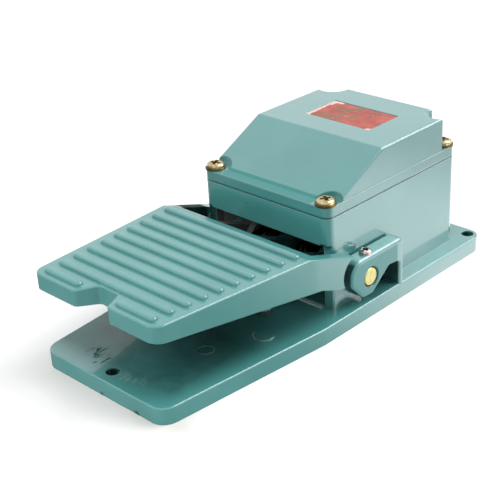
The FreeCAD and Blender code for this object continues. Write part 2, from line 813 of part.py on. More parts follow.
def cover_rim(box):
    """Test for the edges round the cover's top and along the sides of its slope."""
    beside = box.XLength < MARGIN and abs(abs(box.XMin) - number(dome_half)) < MARGIN
    long_run = box.YLength > number(size.pocket_radius + size.cover_wall)
    above = box.ZMax > number(flange_top + size.cover_edge)
    return above and (box.ZMin > number(size.total_height) - MARGIN or (beside and long_run))


dome = rounded("DomeEdge", dome_cut, size.cover_edge, cover_rim)
inner_top = size.total_height - size.cover_wall
inner_foot = slope_start + size.slope_wall_run
cavity = prism("CoverCavity", "YZ", [
    (chamber_front, cover_base - PAST), (room_rear, cover_base - PAST), (room_rear, cover_base + PAST),
    (room_rear - size.cover_rear_lean, inner_top), (slope_end + PAST, inner_top),
    (inner_foot, flange_top - size.cover_wall),
    (chamber_front, flange_top - size.cover_wall)], -chamber_half, chamber_half)
pocket_walls = corner_rods("PocketWall", size.pocket_radius + size.cover_wall,
                           cover_base - 2 * PAST, size.total_height + PAST)
cavity_clear = cut("CoverCavityClear", cavity, pocket_walls)
label_y = house_front + size.label_setback
label_base = size.total_height - size.label_recess
recess = block("LabelRecess", (-size.label_width / 2, label_y - size.label_length / 2, label_base),
               (size.label_width / 2, label_y + size.label_length / 2, size.total_height + PAST))
washer_hole = size.cover_thread / 2 + size.label_clearance
cover_holes = corner_rods("CoverHole", washer_hole, cover_base - PAST, flange_top + PAST)
top_cover = cut("top_cover", fused("CoverShell", [flange, dome]), [cavity_clear, recess] + cover_holes)

label_half = size.label_width / 2 - size.label_clearance
label_end = size.label_length / 2 - size.label_clearance
label_plate = prism("label_plate", "XY", [
    (-label_half, label_y - label_end, size.label_corner),
    (label_half, label_y - label_end, size.label_corner),
    (label_half, label_y + label_end, size.label_corner),
    (-label_half, label_y + label_end, size.label_corner)],
    label_base, label_base + size.label_thickness)


def at_corners(name, piece):
    """One piece repeated at the four cover screws."""
    left = mirrored(name + "Left", piece)
    pair = group(name + "Pair", [piece, left])
    return group(name, [pair, mirrored(name + "RearPair", pair, Y_AXIS, house_middle)])


washer = turned("CoverWasher", [
    (washer_hole, 0.0), (size.washer_diameter / 2, 0.0), (size.washer_diameter / 2, size.washer_thickness),
    (washer_hole, size.washer_thickness)], (screw_x, screw_front_y, flange_top))
cover_washers = at_corners("cover_washers", washer)
washer_top = flange_top + size.washer_thickness
cover_screw = cross_screw("CoverScrew", size.screw_head, size.screw_head_height, size.cover_thread,
                          washer_top - size.seam_height + size.cover_thread_depth - PAST,
                          size.cross_width, (screw_x, screw_front_y, washer_top))
cover_screws = at_corners("cover_screws", cover_screw)

# Treadle, one casting

treadle_front_half = size.treadle_front_width / 2
treadle_rear_half = half_rear - size.treadle_side_inset
arm_inner = half_house + size.arm_gap
treadle_taper_end = front + size.treadle_taper
arm_tip_y = front + size.arm_tip_setback
notch_front_half = size.notch_front_width / 2
notch_back_half = size.notch_back_width / 2
treadle_plan = prism("TreadlePlan", "XY", [
    (-treadle_front_half, front, size.treadle_front_corner), (-notch_front_half, front, size.notch_corner),
    (-notch_back_half, front + size.notch_depth, size.notch_corner),
    (notch_back_half, front + size.notch_depth, size.notch_corner),
    (notch_front_half, front, size.notch_corner),
    (treadle_front_half, front, size.treadle_front_corner),
    (treadle_rear_half, treadle_taper_end, size.treadle_bend),
    (treadle_rear_half, arm_tip_y + PAST), (-treadle_rear_half, arm_tip_y + PAST),
    (-treadle_rear_half, treadle_taper_end, size.treadle_bend)],
    size.base_height, size.treadle_front_height + PAST)
crease_y = front + size.treadle_crease
plate_rear = front + size.treadle_plate_length
knee_y = front + size.skirt_knee_setback
heel_y = front + size.arm_heel_setback
treadle_side = prism("TreadleSide", "YZ", [
    (front - PAST, size.treadle_front_height - size.treadle_front_wall),
    (knee_y, size.skirt_knee_height, size.skirt_knee_corner),
    (heel_y, size.arm_heel_height), (arm_tip_y, size.arm_heel_height), (arm_tip_y, size.arm_tip_height),
    (crease_y, size.treadle_rear_height, size.treadle_crease_corner),
    (front - PAST, size.treadle_front_height)],
    -treadle_rear_half - PAST, treadle_rear_half + PAST)
treadle_solid = shared("TreadleSolid", treadle_plan, treadle_side)


def treadle_rim(box):
    """Test for the outer edges of the treadle's top, from its front to the arm tips."""
    upright = box.XLength < MARGIN and box.YLength < MARGIN
    across = box.YMin > number(crease_y - size.treadle_front_corner) and box.YLength < MARGIN
    rear_top = number(size.treadle_rear_height - size.treadle_edge * 2)
    high = box.ZMin > number(size.arm_tip_height) - MARGIN and box.ZMax > rear_top
    return high and not upright and not across


treadle_rounded = rounded("TreadleRim", treadle_solid, size.treadle_edge, treadle_rim)
arm_end = rod("ArmEnd", size.arm_end_radius, 2 * treadle_rear_half + 4 * PAST,
              (-treadle_rear_half - 2 * PAST, front + size.arm_end_setback, size.arm_end_height), ALONG_X)
between_arms = block("BetweenArms", (-arm_inner, plate_rear, MIDDLE),
                     (arm_inner, arm_tip_y + 2 * PAST, size.treadle_front_height + PAST))
treadle_shell = cut("TreadleShell", treadle_rounded, [arm_end, between_arms])
inside_front_half = treadle_front_half - size.skirt_front
inside_front = front + size.skirt_front
inside_notch = inside_front + size.notch_depth
guard_front = notch_front_half + size.skirt_front
guard_back = notch_back_half + size.skirt_front
inside_rear = plate_rear - size.skirt_front
inside_plan = prism("TreadleInsidePlan", "XY", [
    (-inside_front_half, inside_front, size.inside_corner), (-guard_front, inside_front, size.inside_corner),
    (-guard_back, inside_notch, size.inside_notch_corner),
    (guard_back, inside_notch, size.inside_notch_corner),
    (guard_front, inside_front, size.inside_corner), (inside_front_half, inside_front, size.inside_corner),
    (arm_inner, inside_rear, size.inside_corner), (-arm_inner, inside_rear, size.inside_corner)],
    GROUND, size.treadle_front_height)
inside_side = prism("TreadleInsideSide", "YZ", [
    (front, MIDDLE), (plate_rear, MIDDLE),
    (plate_rear, size.treadle_rear_height - size.treadle_plate - size.inside_rear_drop),
    (crease_y, size.treadle_rear_height - size.treadle_plate),
    (front, size.treadle_front_height - size.treadle_plate)],
    -treadle_rear_half, treadle_rear_half)
treadle_tray = cut("TreadleTray", treadle_shell, [shared("TreadleInside", inside_plan, inside_side)])

# Raised bars across the treadle

top_slope = (size.treadle_front_height - size.treadle_rear_height) / size.treadle_crease
width_rate = (treadle_rear_half - treadle_front_half) / size.treadle_taper
half_bar = size.tread_rib_width / 2
bar_end = half_bar * FULL_ROUND
bars = []
for index in range(int(size.tread_rib_count.value)):
    along = size.tread_rib_first + index * size.tread_rib_pitch
    reach = treadle_front_half + width_rate * along - size.tread_rib_margin
    foot = size.treadle_front_height - top_slope * along
    spans = [(-reach, reach)]
    if number(along) < number(size.notch_depth):
        inner = notch_front_half + PAST
        spans = [(-reach, -inner), (inner, reach)]
    for side, (start, end) in enumerate(spans):
        bar = prism("TreadRib%d%s" % (index, "LR"[side]), "XY", [
            (start, front + along - half_bar, bar_end), (end, front + along - half_bar, bar_end),
            (end, front + along + half_bar, bar_end), (start, front + along + half_bar, bar_end)],
            foot - PAST, foot + size.tread_rib_height)
        bars.append(rounded(bar.Name + "Edge", bar, size.tread_rib_edge, level(foot + size.tread_rib_height)))

# Hubs, their ribs, the cam and the stops under the treadle

hub_outer = half_cheek - size.thrust_gap
hub_inner = hub_outer - size.hub_length
hub = rod("HubRight", size.hub_radius, size.hub_length, (hub_inner, pivot_y, size.pivot_height), ALONG_X)
rib_inner = size.rest_stop_offset - size.hub_rib_width / 2
heel_foot = size.base_height + size.rest_stop_height + size.stop_gap
heel_reach = rest_stop_y + size.rest_stop_diameter / 2
plate_under = size.treadle_rear_height - size.treadle_plate + PAST
rib_knee = size.skirt_knee_height + size.rib_knee_lift
rib_foot = plate_under - size.hub_rib_height
crown = size.pivot_height + size.hub_crown
chord_spot = (pivot_y - size.hub_chord_run, size.pivot_height - size.hub_chord_drop)
rib_root = [(pivot_y - size.rib_neck_run, crown, size.rib_neck_corner),
            (plate_rear - size.rib_root_run, plate_under - size.rib_root_drop), (crease_y, plate_under)]
hub_rib_outline = [
    (front + size.hub_rib_start, plate_under), (front + size.hub_rib_start, rib_foot),
    (plate_rear - size.rib_knee_run, rib_knee), (plate_rear, rib_knee), chord_spot,
    (pivot_y, heel_foot + size.heel_rise), (rest_stop_y - size.heel_lead, heel_foot),
    (heel_reach, heel_foot, size.heel_corner), (heel_reach, heel_foot + size.heel_height, size.heel_shoulder),
    (pivot_y, crown)] + rib_root
hub_rib = prism("HubRibRight", "YZ", hub_rib_outline, rib_inner, rib_inner + size.hub_rib_width)
cam_hub = rod("CamHub", size.hub_radius, size.cam_width,
              (-size.cam_width / 2, pivot_y, size.pivot_height), ALONG_X)
cam_top = size.pivot_height + size.cam_rise
cam_nose = rod("CamNose", size.cam_radius, size.cam_width, (-size.cam_width / 2, plunger_y, cam_top), ALONG_X)
cam_outline = [
    (front + size.cam_rib_start, plate_under), (front + size.cam_rib_start, rib_foot),
    (plate_rear - size.rib_knee_run, rib_knee), (plate_rear, rib_knee), chord_spot,
    (pivot_y + size.hub_chord_run, size.pivot_height - size.hub_chord_drop),
    (plunger_y + size.cam_back, cam_top - size.cam_under),
    (plunger_y, cam_top + size.cam_radius * FULL_ROUND),
    (pivot_y, crown)] + rib_root
cam_rib = prism("CamRib", "YZ", cam_outline, -size.cam_width / 2, size.cam_width / 2)
stop_radius = size.stop_diameter / 2
stop_arm = size.pivot_setback - size.stop_setback + stop_radius
pressed_stop = size.base_height + size.stop_pad_height + size.stop_gap - size.pivot_height
stop_foot = size.pivot_height + (pressed_stop + stop_arm * sine(size.press_angle)) / cosine(size.press_angle)
pillar_foot = stop_foot + size.stop_height
pillar = cone("StopPillarRight", stop_radius, stop_radius + size.pillar_draft,
              plate_under - pillar_foot, (size.stop_offset, stop_y, pillar_foot))
right_side = [hub, hub_rib, pillar]
left_side = [mirrored(piece.Name + "Mirrored", piece) for piece in right_side]
middle_parts = [cam_hub, cam_nose, cam_rib]
treadle_blank = fused("TreadleBlank", [treadle_tray] + middle_parts + bars + right_side + left_side)
bush_outer = size.shaft_diameter / 2 + size.running_clearance + size.bush_wall
hub_bores = [rod("HubBore%d" % index, bush_outer, size.hub_length + 2 * PAST,
                 (start - PAST, pivot_y, size.pivot_height), ALONG_X)
             for index, start in enumerate((hub_inner, -hub_outer))]
cam_bore = rod("CamBore", size.shaft_diameter / 2 + size.cam_clearance, size.cam_width + 2 * PAST,
               (-size.cam_width / 2 - PAST, pivot_y, size.pivot_height), ALONG_X)
stem_holes = [rod("StopStemHole%d" % index, size.stop_stem / 2, size.stop_stem_length + PAST,
                  (across, stop_y, pillar_foot - PAST))
              for index, across in enumerate((-size.stop_offset, size.stop_offset))]
pedal = cut("pedal", treadle_blank, hub_bores + [cam_bore] + stem_holes)

# Shaft, bushes and washers

shaft_half = half_rear - size.shaft_recess
shaft_radius = size.shaft_diameter / 2
pivot_shaft = turned("pivot_shaft", [
    (0.0, 0.0), (shaft_radius - size.shaft_chamfer, 0.0), (shaft_radius, size.shaft_chamfer),
    (shaft_radius, 2 * shaft_half - size.shaft_chamfer), (shaft_radius - size.shaft_chamfer, 2 * shaft_half),
    (0.0, 2 * shaft_half)], (-shaft_half, pivot_y, size.pivot_height), ALONG_X)
bush = turned("HubBush", [
    (bore_radius, 0.0), (bush_outer, 0.0), (bush_outer, size.hub_length), (bore_radius, size.hub_length)],
    (hub_inner, pivot_y, size.pivot_height), ALONG_X)
hub_bushes = group("hub_bushes", [bush, mirrored("HubBushLeft", bush)])
thrust_start = hub_outer + (size.thrust_gap - size.thrust_washer_thickness) / 2
thrust = turned("ThrustWasher", [
    (bore_radius, 0.0), (size.hub_radius - size.thrust_inset, 0.0),
    (size.hub_radius - size.thrust_inset, size.thrust_washer_thickness),
    (bore_radius, size.thrust_washer_thickness)], (thrust_start, pivot_y, size.pivot_height), ALONG_X)
thrust_washers = group("thrust_washers", [thrust, mirrored("ThrustWasherLeft", thrust)])
shaft_screw = cross_screw("ShaftScrew", size.shaft_screw_head, size.shaft_screw_head_height,
                          size.shaft_screw_thread, size.lug_top - size.pivot_height - shaft_radius,
                          size.shaft_screw_cross, (lug_tap_x, pivot_y, size.lug_top))
shaft_screws = group("shaft_screws", [shaft_screw, mirrored("ShaftScrewLeft", shaft_screw)])

# Rubber stops, two on the treadle's pillars and two on the base under the heels

down_stop = turned("DownStop", [
    (0.0, 0.0), (stop_radius - size.stop_ease, 0.0), (stop_radius, size.stop_ease),
    (stop_radius, size.stop_height),
    (size.stop_stem / 2, size.stop_height), (size.stop_stem / 2, size.stop_height + size.stop_stem_length),
    (0.0, size.stop_height + size.stop_stem_length)], (size.stop_offset, stop_y, stop_foot))
down_stops = group("down_stops", [down_stop, mirrored("DownStopLeft", down_stop)])
rest_radius = size.rest_stop_diameter / 2
stem_end = size.underside_depth - size.base_height
rest_stop = turned("RestStop", [
    (0.0, stem_end), (size.stop_stem / 2, stem_end), (size.stop_stem / 2, 0.0), (rest_radius, 0.0),
    (rest_radius, size.rest_stop_height - size.stop_ease),
    (rest_radius - size.stop_ease, size.rest_stop_height), (0.0, size.rest_stop_height)],
    (size.rest_stop_offset, rest_stop_y, size.base_height))
rest_stops = group("rest_stops", [rest_stop, mirrored("RestStopLeft", rest_stop)])


def wire_section(radius, spot, heading):
    """Outline across a wire, many-sided, square to its heading."""
    aside = heading.cross(Z_AXIS if abs(heading.z) < 0.5 else X_AXIS).normalize()
    above = heading.cross(aside)
    turns = [2 * math.pi * step / WIRE_SIDES for step in range(WIRE_SIDES + 1)]
    return Part.makePolygon([spot + aside * (radius * math.cos(turn)) + above * (radius * math.sin(turn))
                             for turn in turns])


def least_gap(points, wire):
    """Least space between a wire and its own next turns, measured on points along its middle."""
    far = POINTS_PER_TURN // 2
    return min(point.distanceToPoint(other)
               for index, point in enumerate(points) for other in points[index + far:]) - wire


def coil(name, radius, wire, turns, pitch, lead_in=None, lead_out=None):
    """Wire wound round the Z axis, with a straight lead at each end where one is given."""
    spots = []
    for step in range(int(round(turns * 4)) + 1):
        angle = step * math.pi / 2
        spots.append(FreeCAD.Vector(radius * math.cos(angle), radius * math.sin(angle), pitch * step / 4))
    edges = [Part.Arc(*spots[step:step + 3]).toShape() for step in range(0, len(spots) - 1, 2)]
    if lead_in:
        edges.insert(0, Part.makeLine(lead_in(spots[0]), spots[0]))
    if lead_out:
        edges.append(Part.makeLine(spots[-1], lead_out(spots[-1])))
    path = Part.Wire(edges)
    spacing = 2 * math.pi * radius / POINTS_PER_TURN
    print("%-20s least gap to itself %.2f mm" % (name, least_gap(path.discretize(Distance=spacing), wire)))
    heading = path.OrderedEdges[0].tangentAt(path.OrderedEdges[0].FirstParameter)
    section = wire_section(wire / 2, path.OrderedVertexes[0].Point, heading)
    return path.makePipeShell([Part.Wire(section)], True, False)


def return_spring():
    """Torsion spring round the shaft, with one leg on the base and one under the treadle."""
    radius = size.spring_radius.value
    side = radius + size.spring_wire.value / 2
    run = size.spring_leg_run.value
    drop = size.pivot_height.value - size.base_height.value - side - size.spring_foot_gap.value
    reach = size.pivot_setback.value - size.treadle_plate_length.value + size.skirt_front.value / 2
    rise = size.skirt_knee_height.value - size.pivot_height.value - side - size.spring_top_gap.value
    return coil("return_spring_right", radius, size.spring_wire.value, size.spring_turns.value + 0.5,
                size.spring_pitch.value,
                lambda point: FreeCAD.Vector(point.x + drop, point.y - run, point.z),
                lambda point: FreeCAD.Vector(point.x - rise, point.y - reach, point.z))


spring_span = size.spring_pitch * (size.spring_turns + 0.5)
spring_start = (hub_inner.value + size.cam_width.value / 2 - spring_span.value) / 2
spring_turn = FreeCAD.Rotation(FreeCAD.Vector(0, 0, -1), Y_AXIS, X_AXIS, "ZXY")
spring_right = doc.addObject("Part::Feature", "return_spring_right")
spring_right.Shape = return_spring()
spring_right.Placement = FreeCAD.Placement(
    FreeCAD.Vector(spring_start, pivot_y.value, size.pivot_height.value), spring_turn)
spring_left = mirrored("return_spring_left", spring_right)

# Plunger, its guide and seal

plunger_radius = size.plunger_diameter / 2
head_radius = size.plunger_head / 2
plunger_foot = cam_top + size.cam_radius + size.plunger_gap
plunger_top = chamber_base + size.carrier_rest
plunger = turned("plunger", [
    (0.0, 0.0), (head_radius - size.plunger_foot_ease, 0.0), (head_radius, size.plunger_foot_ease),
    (head_radius, size.plunger_head_height - size.plunger_head_ease),
    (head_radius - size.plunger_head_ease, size.plunger_head_height),
    (plunger_radius, size.plunger_head_height),
    (plunger_radius, plunger_top - plunger_foot), (0.0, plunger_top - plunger_foot)],
    (MIDDLE, plunger_y, plunger_foot))
guide_bore = plunger_radius + size.running_clearance
guide_radius = size.guide_diameter / 2
flange_radius = size.guide_flange / 2
guide_top = size.guide_nose + size.chamber_floor + size.guide_flange_height
plunger_guide = turned("plunger_guide", [
    (guide_bore, 0.0), (guide_radius - size.guide_ease, 0.0), (guide_radius, size.guide_ease),
    (guide_radius, size.guide_nose + size.chamber_floor),
    (flange_radius, size.guide_nose + size.chamber_floor),
    (flange_radius, guide_top - size.guide_ease), (flange_radius - size.guide_ease, guide_top),
    (size.seal_diameter / 2, guide_top),
    (size.seal_diameter / 2, guide_top - size.seal_height), (guide_bore, guide_top - size.seal_height)],
    (MIDDLE, plunger_y, size.arch_height - size.guide_nose))
plunger_seal = turned("plunger_seal", [
    (guide_bore, 0.0), (size.seal_diameter / 2, 0.0), (size.seal_diameter / 2, size.seal_height),
    (guide_bore, size.seal_height)],
    (MIDDLE, plunger_y, size.arch_height - size.guide_nose + guide_top - size.seal_height))

# Contact block

block_half = size.block_width / 2
block_front = plunger_y - size.block_length / 2
block_rear = plunger_y + size.block_length / 2
block_top = chamber_base + size.block_height
bridge_low = plunger_top + size.bridge_lift
rest_contact = bridge_low - size.contact_rest_gap
work_contact = bridge_low + size.bridge_thickness + size.contact_travel
terminal_out = block_half + size.terminal_reach
rest_plate = rest_contact - size.contact_height - size.terminal_thickness
work_plate = work_contact + size.contact_height
half_terminal = size.terminal_width / 2
case = block("BlockCase", (-block_half, block_front, chamber_base), (block_half, block_rear, block_top))
shelves = []
for name, along, top in (("Rest", plunger_y - size.bridge_offset, rest_plate),
                         ("Work", plunger_y + size.bridge_offset, work_plate)):
    shelves.append(block("Shelf" + name, (-terminal_out, along - half_terminal, chamber_base),
                         (terminal_out, along + half_terminal, top)))
case_space = block("BlockSpace", (-block_half + size.block_side_wall, block_front + size.block_end_wall,
                                  chamber_base + size.guide_flange_height + PAST),
                   (block_half - size.block_side_wall, block_rear - size.block_end_wall, block_top + PAST))
guide_clear = rod("BlockGuideClear", flange_radius + size.label_clearance,
                  size.guide_flange_height + 3 * PAST, (MIDDLE, plunger_y, chamber_base - PAST))
terminals, plate_slots, terminal_screw_list = [], [], []
for name, along, plate_low, button_low in (
        ("Rest", plunger_y - size.bridge_offset, rest_plate, rest_plate + size.terminal_thickness),
        ("Work", plunger_y + size.bridge_offset, work_plate, work_contact)):
    inner_end = size.contact_span / 2 - size.contact_diameter / 2
    strip = block("Strip" + name, (inner_end, along - half_terminal, plate_low),
                  (terminal_out, along + half_terminal, plate_low + size.terminal_thickness))
    slot = block("StripSlot" + name, (inner_end, along - half_terminal, plate_low),
                 (block_half + MARGIN, along + half_terminal, plate_low + size.terminal_thickness))
    button = rod("Button" + name, size.contact_diameter / 2, size.contact_height,
                 (size.contact_span / 2, along, button_low))
    screw_spot = (block_half + size.terminal_reach / 2, along, plate_low + size.terminal_thickness)
    hole = rod("StripHole" + name, size.terminal_screw_thread / 2, size.terminal_screw_length + PAST,
               (screw_spot[0], along, plate_low + size.terminal_thickness - size.terminal_screw_length))
    terminal = cut("Terminal" + name, fused("TerminalBlank" + name, [strip, button]), [hole])
    screw = cross_screw("TerminalScrew" + name, size.terminal_screw_head, size.terminal_screw_head_height,
                        size.terminal_screw_thread, size.terminal_screw_length,
                        size.shaft_screw_cross, screw_spot)
    terminals += [terminal, mirrored("TerminalLeft" + name, terminal)]
    plate_slots += [slot, mirrored("StripSlotLeft" + name, slot)]
    plate_slots += [hole, mirrored("StripHoleLeft" + name, hole)]
    terminal_screw_list += [screw, mirrored("TerminalScrewLeft" + name, screw)]
contact_terminals = group("contact_terminals", terminals)
terminal_screws = group("terminal_screws", terminal_screw_list)
case_holes = [rod("BlockScrewHole%d" % index, block_screw_hole, size.block_height + size.block_lid + 4 * PAST,
                  (across, plunger_y, chamber_base - PAST))
              for index, across in enumerate((-block_screw_x, block_screw_x))]
contact_block = cut("contact_block", fused("BlockBlank", [case] + shelves),
                    [case_space, guide_clear] + plate_slots + case_holes)
lid_top = block_top + size.block_lid
tower_length = size.block_lid + size.tower_height
lid_plate = block("LidPlate", (-block_half, block_front, block_top), (block_half, block_rear, lid_top))
tower = rod("LidTower", size.tower_diameter / 2, tower_length, (MIDDLE, plunger_y, block_top))
tower_well = rod("LidWell", size.tower_diameter / 2 - size.tower_wall, tower_length - size.tower_wall + PAST,
                 (MIDDLE, plunger_y, block_top - PAST))
block_lid = cut("block_lid", fused("LidBlank", [lid_plate, tower]), [tower_well] + case_holes)
lid_screw = cross_screw("BlockScrew", size.terminal_screw_head, size.terminal_screw_head_height,
                        size.block_screw_thread,
                        size.block_height + size.block_lid + size.block_screw_bite - size.thread_clearance,
                        size.shaft_screw_cross, (block_screw_x, plunger_y, lid_top))
block_screws = group("block_screws", [lid_screw, mirrored("BlockScrewLeft", lid_screw)])

carrier_half = size.carrier_width / 2
carrier_end = size.carrier_length / 2
carrier_blank = block("CarrierBlank", (-carrier_half, plunger_y - carrier_end, plunger_top),
                      (carrier_half, plunger_y + carrier_end, plunger_top + size.carrier_height))
peg_radius = size.carrier_spring_radius - size.carrier_spring_wire / 2 - size.peg_clearance
carrier_peg = rod("CarrierPeg", peg_radius, size.carrier_height + size.peg_height,
                  (MIDDLE, plunger_y, plunger_top))
bridge_bars, bridge_slots = [], []
for name, along in (("Rest", plunger_y - size.bridge_offset), ("Work", plunger_y + size.bridge_offset)):
    low = (-size.bridge_length / 2, along - size.bridge_width / 2, bridge_low)
    high = (size.bridge_length / 2, along + size.bridge_width / 2, bridge_low + size.bridge_thickness)
    bridge_bars.append(block("Bridge" + name, low, high))
    bridge_slots.append(block("BridgeSlot" + name, low, high))
contact_carrier = cut("contact_carrier", fused("CarrierBody", [carrier_blank, carrier_peg]), bridge_slots)
contact_bridges = group("contact_bridges", bridge_bars)

spring_seat = plunger_top + size.carrier_height
spring_roof = lid_top + size.tower_height - size.tower_wall
spring_free = (spring_roof - spring_seat - size.carrier_spring_wire).value
carrier_spring = doc.addObject("Part::Feature", "carrier_spring")
carrier_spring.Shape = coil("carrier_spring", size.carrier_spring_radius.value,
                            size.carrier_spring_wire.value, size.carrier_spring_turns.value,
                            spring_free / size.carrier_spring_turns.value)
carrier_spring.Placement = FreeCAD.Placement(
    FreeCAD.Vector(0, plunger_y.value, (spring_seat + size.carrier_spring_wire / 2).value), UPRIGHT)

# Earth terminal

earth_top = size.base_height + size.earth_boss_height
half_washer = size.earth_washer / 2
earth_washer = cut("earth_washer", block("EarthSaddle", (
    -half_washer, earth_y - half_washer, earth_top), (
    half_washer, earth_y + half_washer, earth_top + size.earth_washer_thickness)), [
    rod("EarthSaddleHole", size.earth_thread / 2 + size.label_clearance,
        size.earth_washer_thickness + 2 * PAST, (MIDDLE, earth_y, earth_top - PAST))])
earth_screw = cross_screw("earth_screw", size.earth_screw_head, size.terminal_screw_head_height,
                          size.earth_thread, size.earth_boss_height - PAST, size.shaft_screw_cross,
                          (MIDDLE, earth_y, earth_top + size.earth_washer_thickness))

# Cable gland in the rear wall

entry = (MIDDLE, house_rear, size.entry_height)
gland_hex = six_sided("GlandHex", size.gland_flats, size.gland_collar, entry, ALONG_Y)
gland_sunk = size.gland_tail + size.housing_wall
gland_thread = rod("GlandThread", size.entry_thread / 2 - size.thread_clearance, gland_sunk,
                   (MIDDLE, house_rear - gland_sunk, size.entry_height), ALONG_Y)
gland_neck = rod("GlandNeck", size.gland_neck / 2, size.gland_collar + size.gland_neck_length, entry, ALONG_Y)
gland_reach = size.gland_collar + size.gland_neck_length
gland_through = rod("GlandThrough", size.gland_bore / 2, gland_sunk + gland_reach + 2 * PAST,
                    (MIDDLE, house_rear - gland_sunk - PAST, size.entry_height), ALONG_Y)
gland_body = cut("gland_body", fused("GlandBlank", [gland_hex, gland_thread, gland_neck]), [gland_through])
gland_locknut = cut("gland_locknut", six_sided(
    "LocknutHex", size.gland_flats, size.locknut_thickness,
    (MIDDLE, room_rear - size.locknut_thickness, size.entry_height), ALONG_Y), [
    rod("LocknutBore", size.entry_thread / 2, size.locknut_thickness + 2 * PAST,
        (MIDDLE, room_rear - size.locknut_thickness - PAST, size.entry_height), ALONG_Y)])
nut_start = house_rear + size.gland_collar
cap_radius = size.gland_nut_flats / 2 - size.gland_nut_ease
crowned = eased(cap_radius, size.gland_nut_length, size.gland_nut_crown, size.gland_nut_crown)
gland_cap = turned("NutCap", [(0.0, 0.0), (cap_radius, 0.0)] + crowned + [(0.0, size.gland_nut_length)],
                   (MIDDLE, nut_start, size.entry_height), ALONG_Y)
gland_nut = cut("gland_nut", fused("NutBlank", [
    six_sided("NutHex", size.gland_nut_flats, size.gland_nut_hex,
              (MIDDLE, nut_start, size.entry_height), ALONG_Y), gland_cap]), [
    rod("NutThread", size.gland_neck / 2 + size.thread_clearance, size.gland_neck_length + PAST,
        (MIDDLE, nut_start - PAST, size.entry_height), ALONG_Y),
    rod("NutMouth", size.gland_mouth / 2, size.gland_nut_length + 2 * PAST,
        (MIDDLE, nut_start - PAST, size.entry_height), ALONG_Y)])
gland_seal = turned("gland_seal", [
    (size.cable_bore / 2, 0.0), (size.gland_bore / 2, 0.0), (size.gland_bore / 2, gland_reach),
    (size.cable_bore / 2, gland_reach)], entry, ALONG_Y)

# Checks and export

NODES = [
    base_housing, top_cover, cover_gasket, cover_screws, cover_washers, label_plate, pedal, pivot_shaft,
    shaft_screws, hub_bushes, thrust_washers, spring_right, spring_left, down_stops, rest_stops,
    plunger_guide, plunger_seal, plunger, contact_carrier, contact_bridges, carrier_spring,
    contact_block, block_lid, contact_terminals, terminal_screws, block_screws, earth_screw, earth_washer,
    gland_body, gland_seal, gland_nut, gland_locknut,
]

doc.recompute()
for obj in doc.Objects:
    if "Invalid" in obj.State or "Error" in obj.State:
        raise RuntimeError("%s failed: %s" % (obj.Name, obj.State))
for node in NODES:
    if node.Shape.isNull() or not node.Shape.isValid():
        raise RuntimeError("%s has no valid shape" % node.Label)
os.makedirs("parts", exist_ok=True)
for node in NODES:
    node.Shape.exportStep(os.path.join("parts", node.Label + ".step"))
    print("%-20s %2d solids %9.1f mm3" % (node.Label, len(node.Shape.Solids), node.Shape.Volume))
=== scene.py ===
"""Looks of a cast foot switch: teal enamel, plated screws, a worn label and a plain pale studio.

All lengths are in metres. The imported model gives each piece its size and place.
"""
import json
import logging
import math
from dataclasses import dataclass, field, replace
from enum import Enum

import bmesh
import bpy
from mathutils import Matrix, Vector, noise

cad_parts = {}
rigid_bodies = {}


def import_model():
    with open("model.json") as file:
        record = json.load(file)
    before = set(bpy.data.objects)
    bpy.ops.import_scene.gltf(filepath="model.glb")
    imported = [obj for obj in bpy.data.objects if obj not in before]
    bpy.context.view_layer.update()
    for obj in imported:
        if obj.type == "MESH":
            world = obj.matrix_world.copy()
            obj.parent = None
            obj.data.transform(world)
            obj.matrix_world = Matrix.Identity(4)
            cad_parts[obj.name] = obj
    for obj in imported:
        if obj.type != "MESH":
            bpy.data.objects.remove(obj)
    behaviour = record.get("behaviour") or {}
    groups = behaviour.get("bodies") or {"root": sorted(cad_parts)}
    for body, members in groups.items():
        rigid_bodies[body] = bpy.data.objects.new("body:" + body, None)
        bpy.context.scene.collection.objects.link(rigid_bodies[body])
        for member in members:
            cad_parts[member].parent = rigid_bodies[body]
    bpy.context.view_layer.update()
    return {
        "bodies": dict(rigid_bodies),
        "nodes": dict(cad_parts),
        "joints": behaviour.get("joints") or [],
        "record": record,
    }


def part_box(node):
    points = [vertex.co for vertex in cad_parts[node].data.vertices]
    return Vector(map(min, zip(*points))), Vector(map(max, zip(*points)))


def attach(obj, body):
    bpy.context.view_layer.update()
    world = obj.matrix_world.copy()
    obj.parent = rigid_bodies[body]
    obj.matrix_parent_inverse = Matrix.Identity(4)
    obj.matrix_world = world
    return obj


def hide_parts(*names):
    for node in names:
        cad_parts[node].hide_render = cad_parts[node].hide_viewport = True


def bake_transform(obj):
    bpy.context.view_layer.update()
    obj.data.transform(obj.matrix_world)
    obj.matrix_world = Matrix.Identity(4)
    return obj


LOG = logging.getLogger("foot_switch")
MM = 0.001

Triple = tuple[float, float, float]
Pair = tuple[float, float]
Colour = Triple
Socket = bpy.types.NodeSocket

WHITE: Colour = (1.0, 1.0, 1.0)
FULL_TURN = 2 * math.pi
QUARTER_TURN = math.pi / 2


def srgb(red: int, green: int, blue: int) -> Colour:
    """Turn a screen colour into a linear one.

    Args:
        red: Red channel, 0 to 255.
        green: Green channel, 0 to 255.
        blue: Blue channel, 0 to 255.

    Returns:
        The linear red, green and blue values.
    """
    def linear(channel: int) -> float:
        """Linear value of one channel."""
        value = channel / 255
        return value / 12.92 if value <= 0.04045 else ((value + 0.055) / 1.055) ** 2.4

    return linear(red), linear(green), linear(blue)


def mm(x: float, y: float, z: float) -> Vector:
    """Give a point or a step, in metres, from its millimetres."""
    return Vector((x, y, z)) * MM


class Ease(Enum):
    """How a value rises between its two ends."""

    EVEN = "LINEAR"
    SOFT = "SMOOTHSTEP"


class Merge(Enum):
    """How two values become one."""

    PRODUCT = "MULTIPLY"
    LARGER = "MAXIMUM"


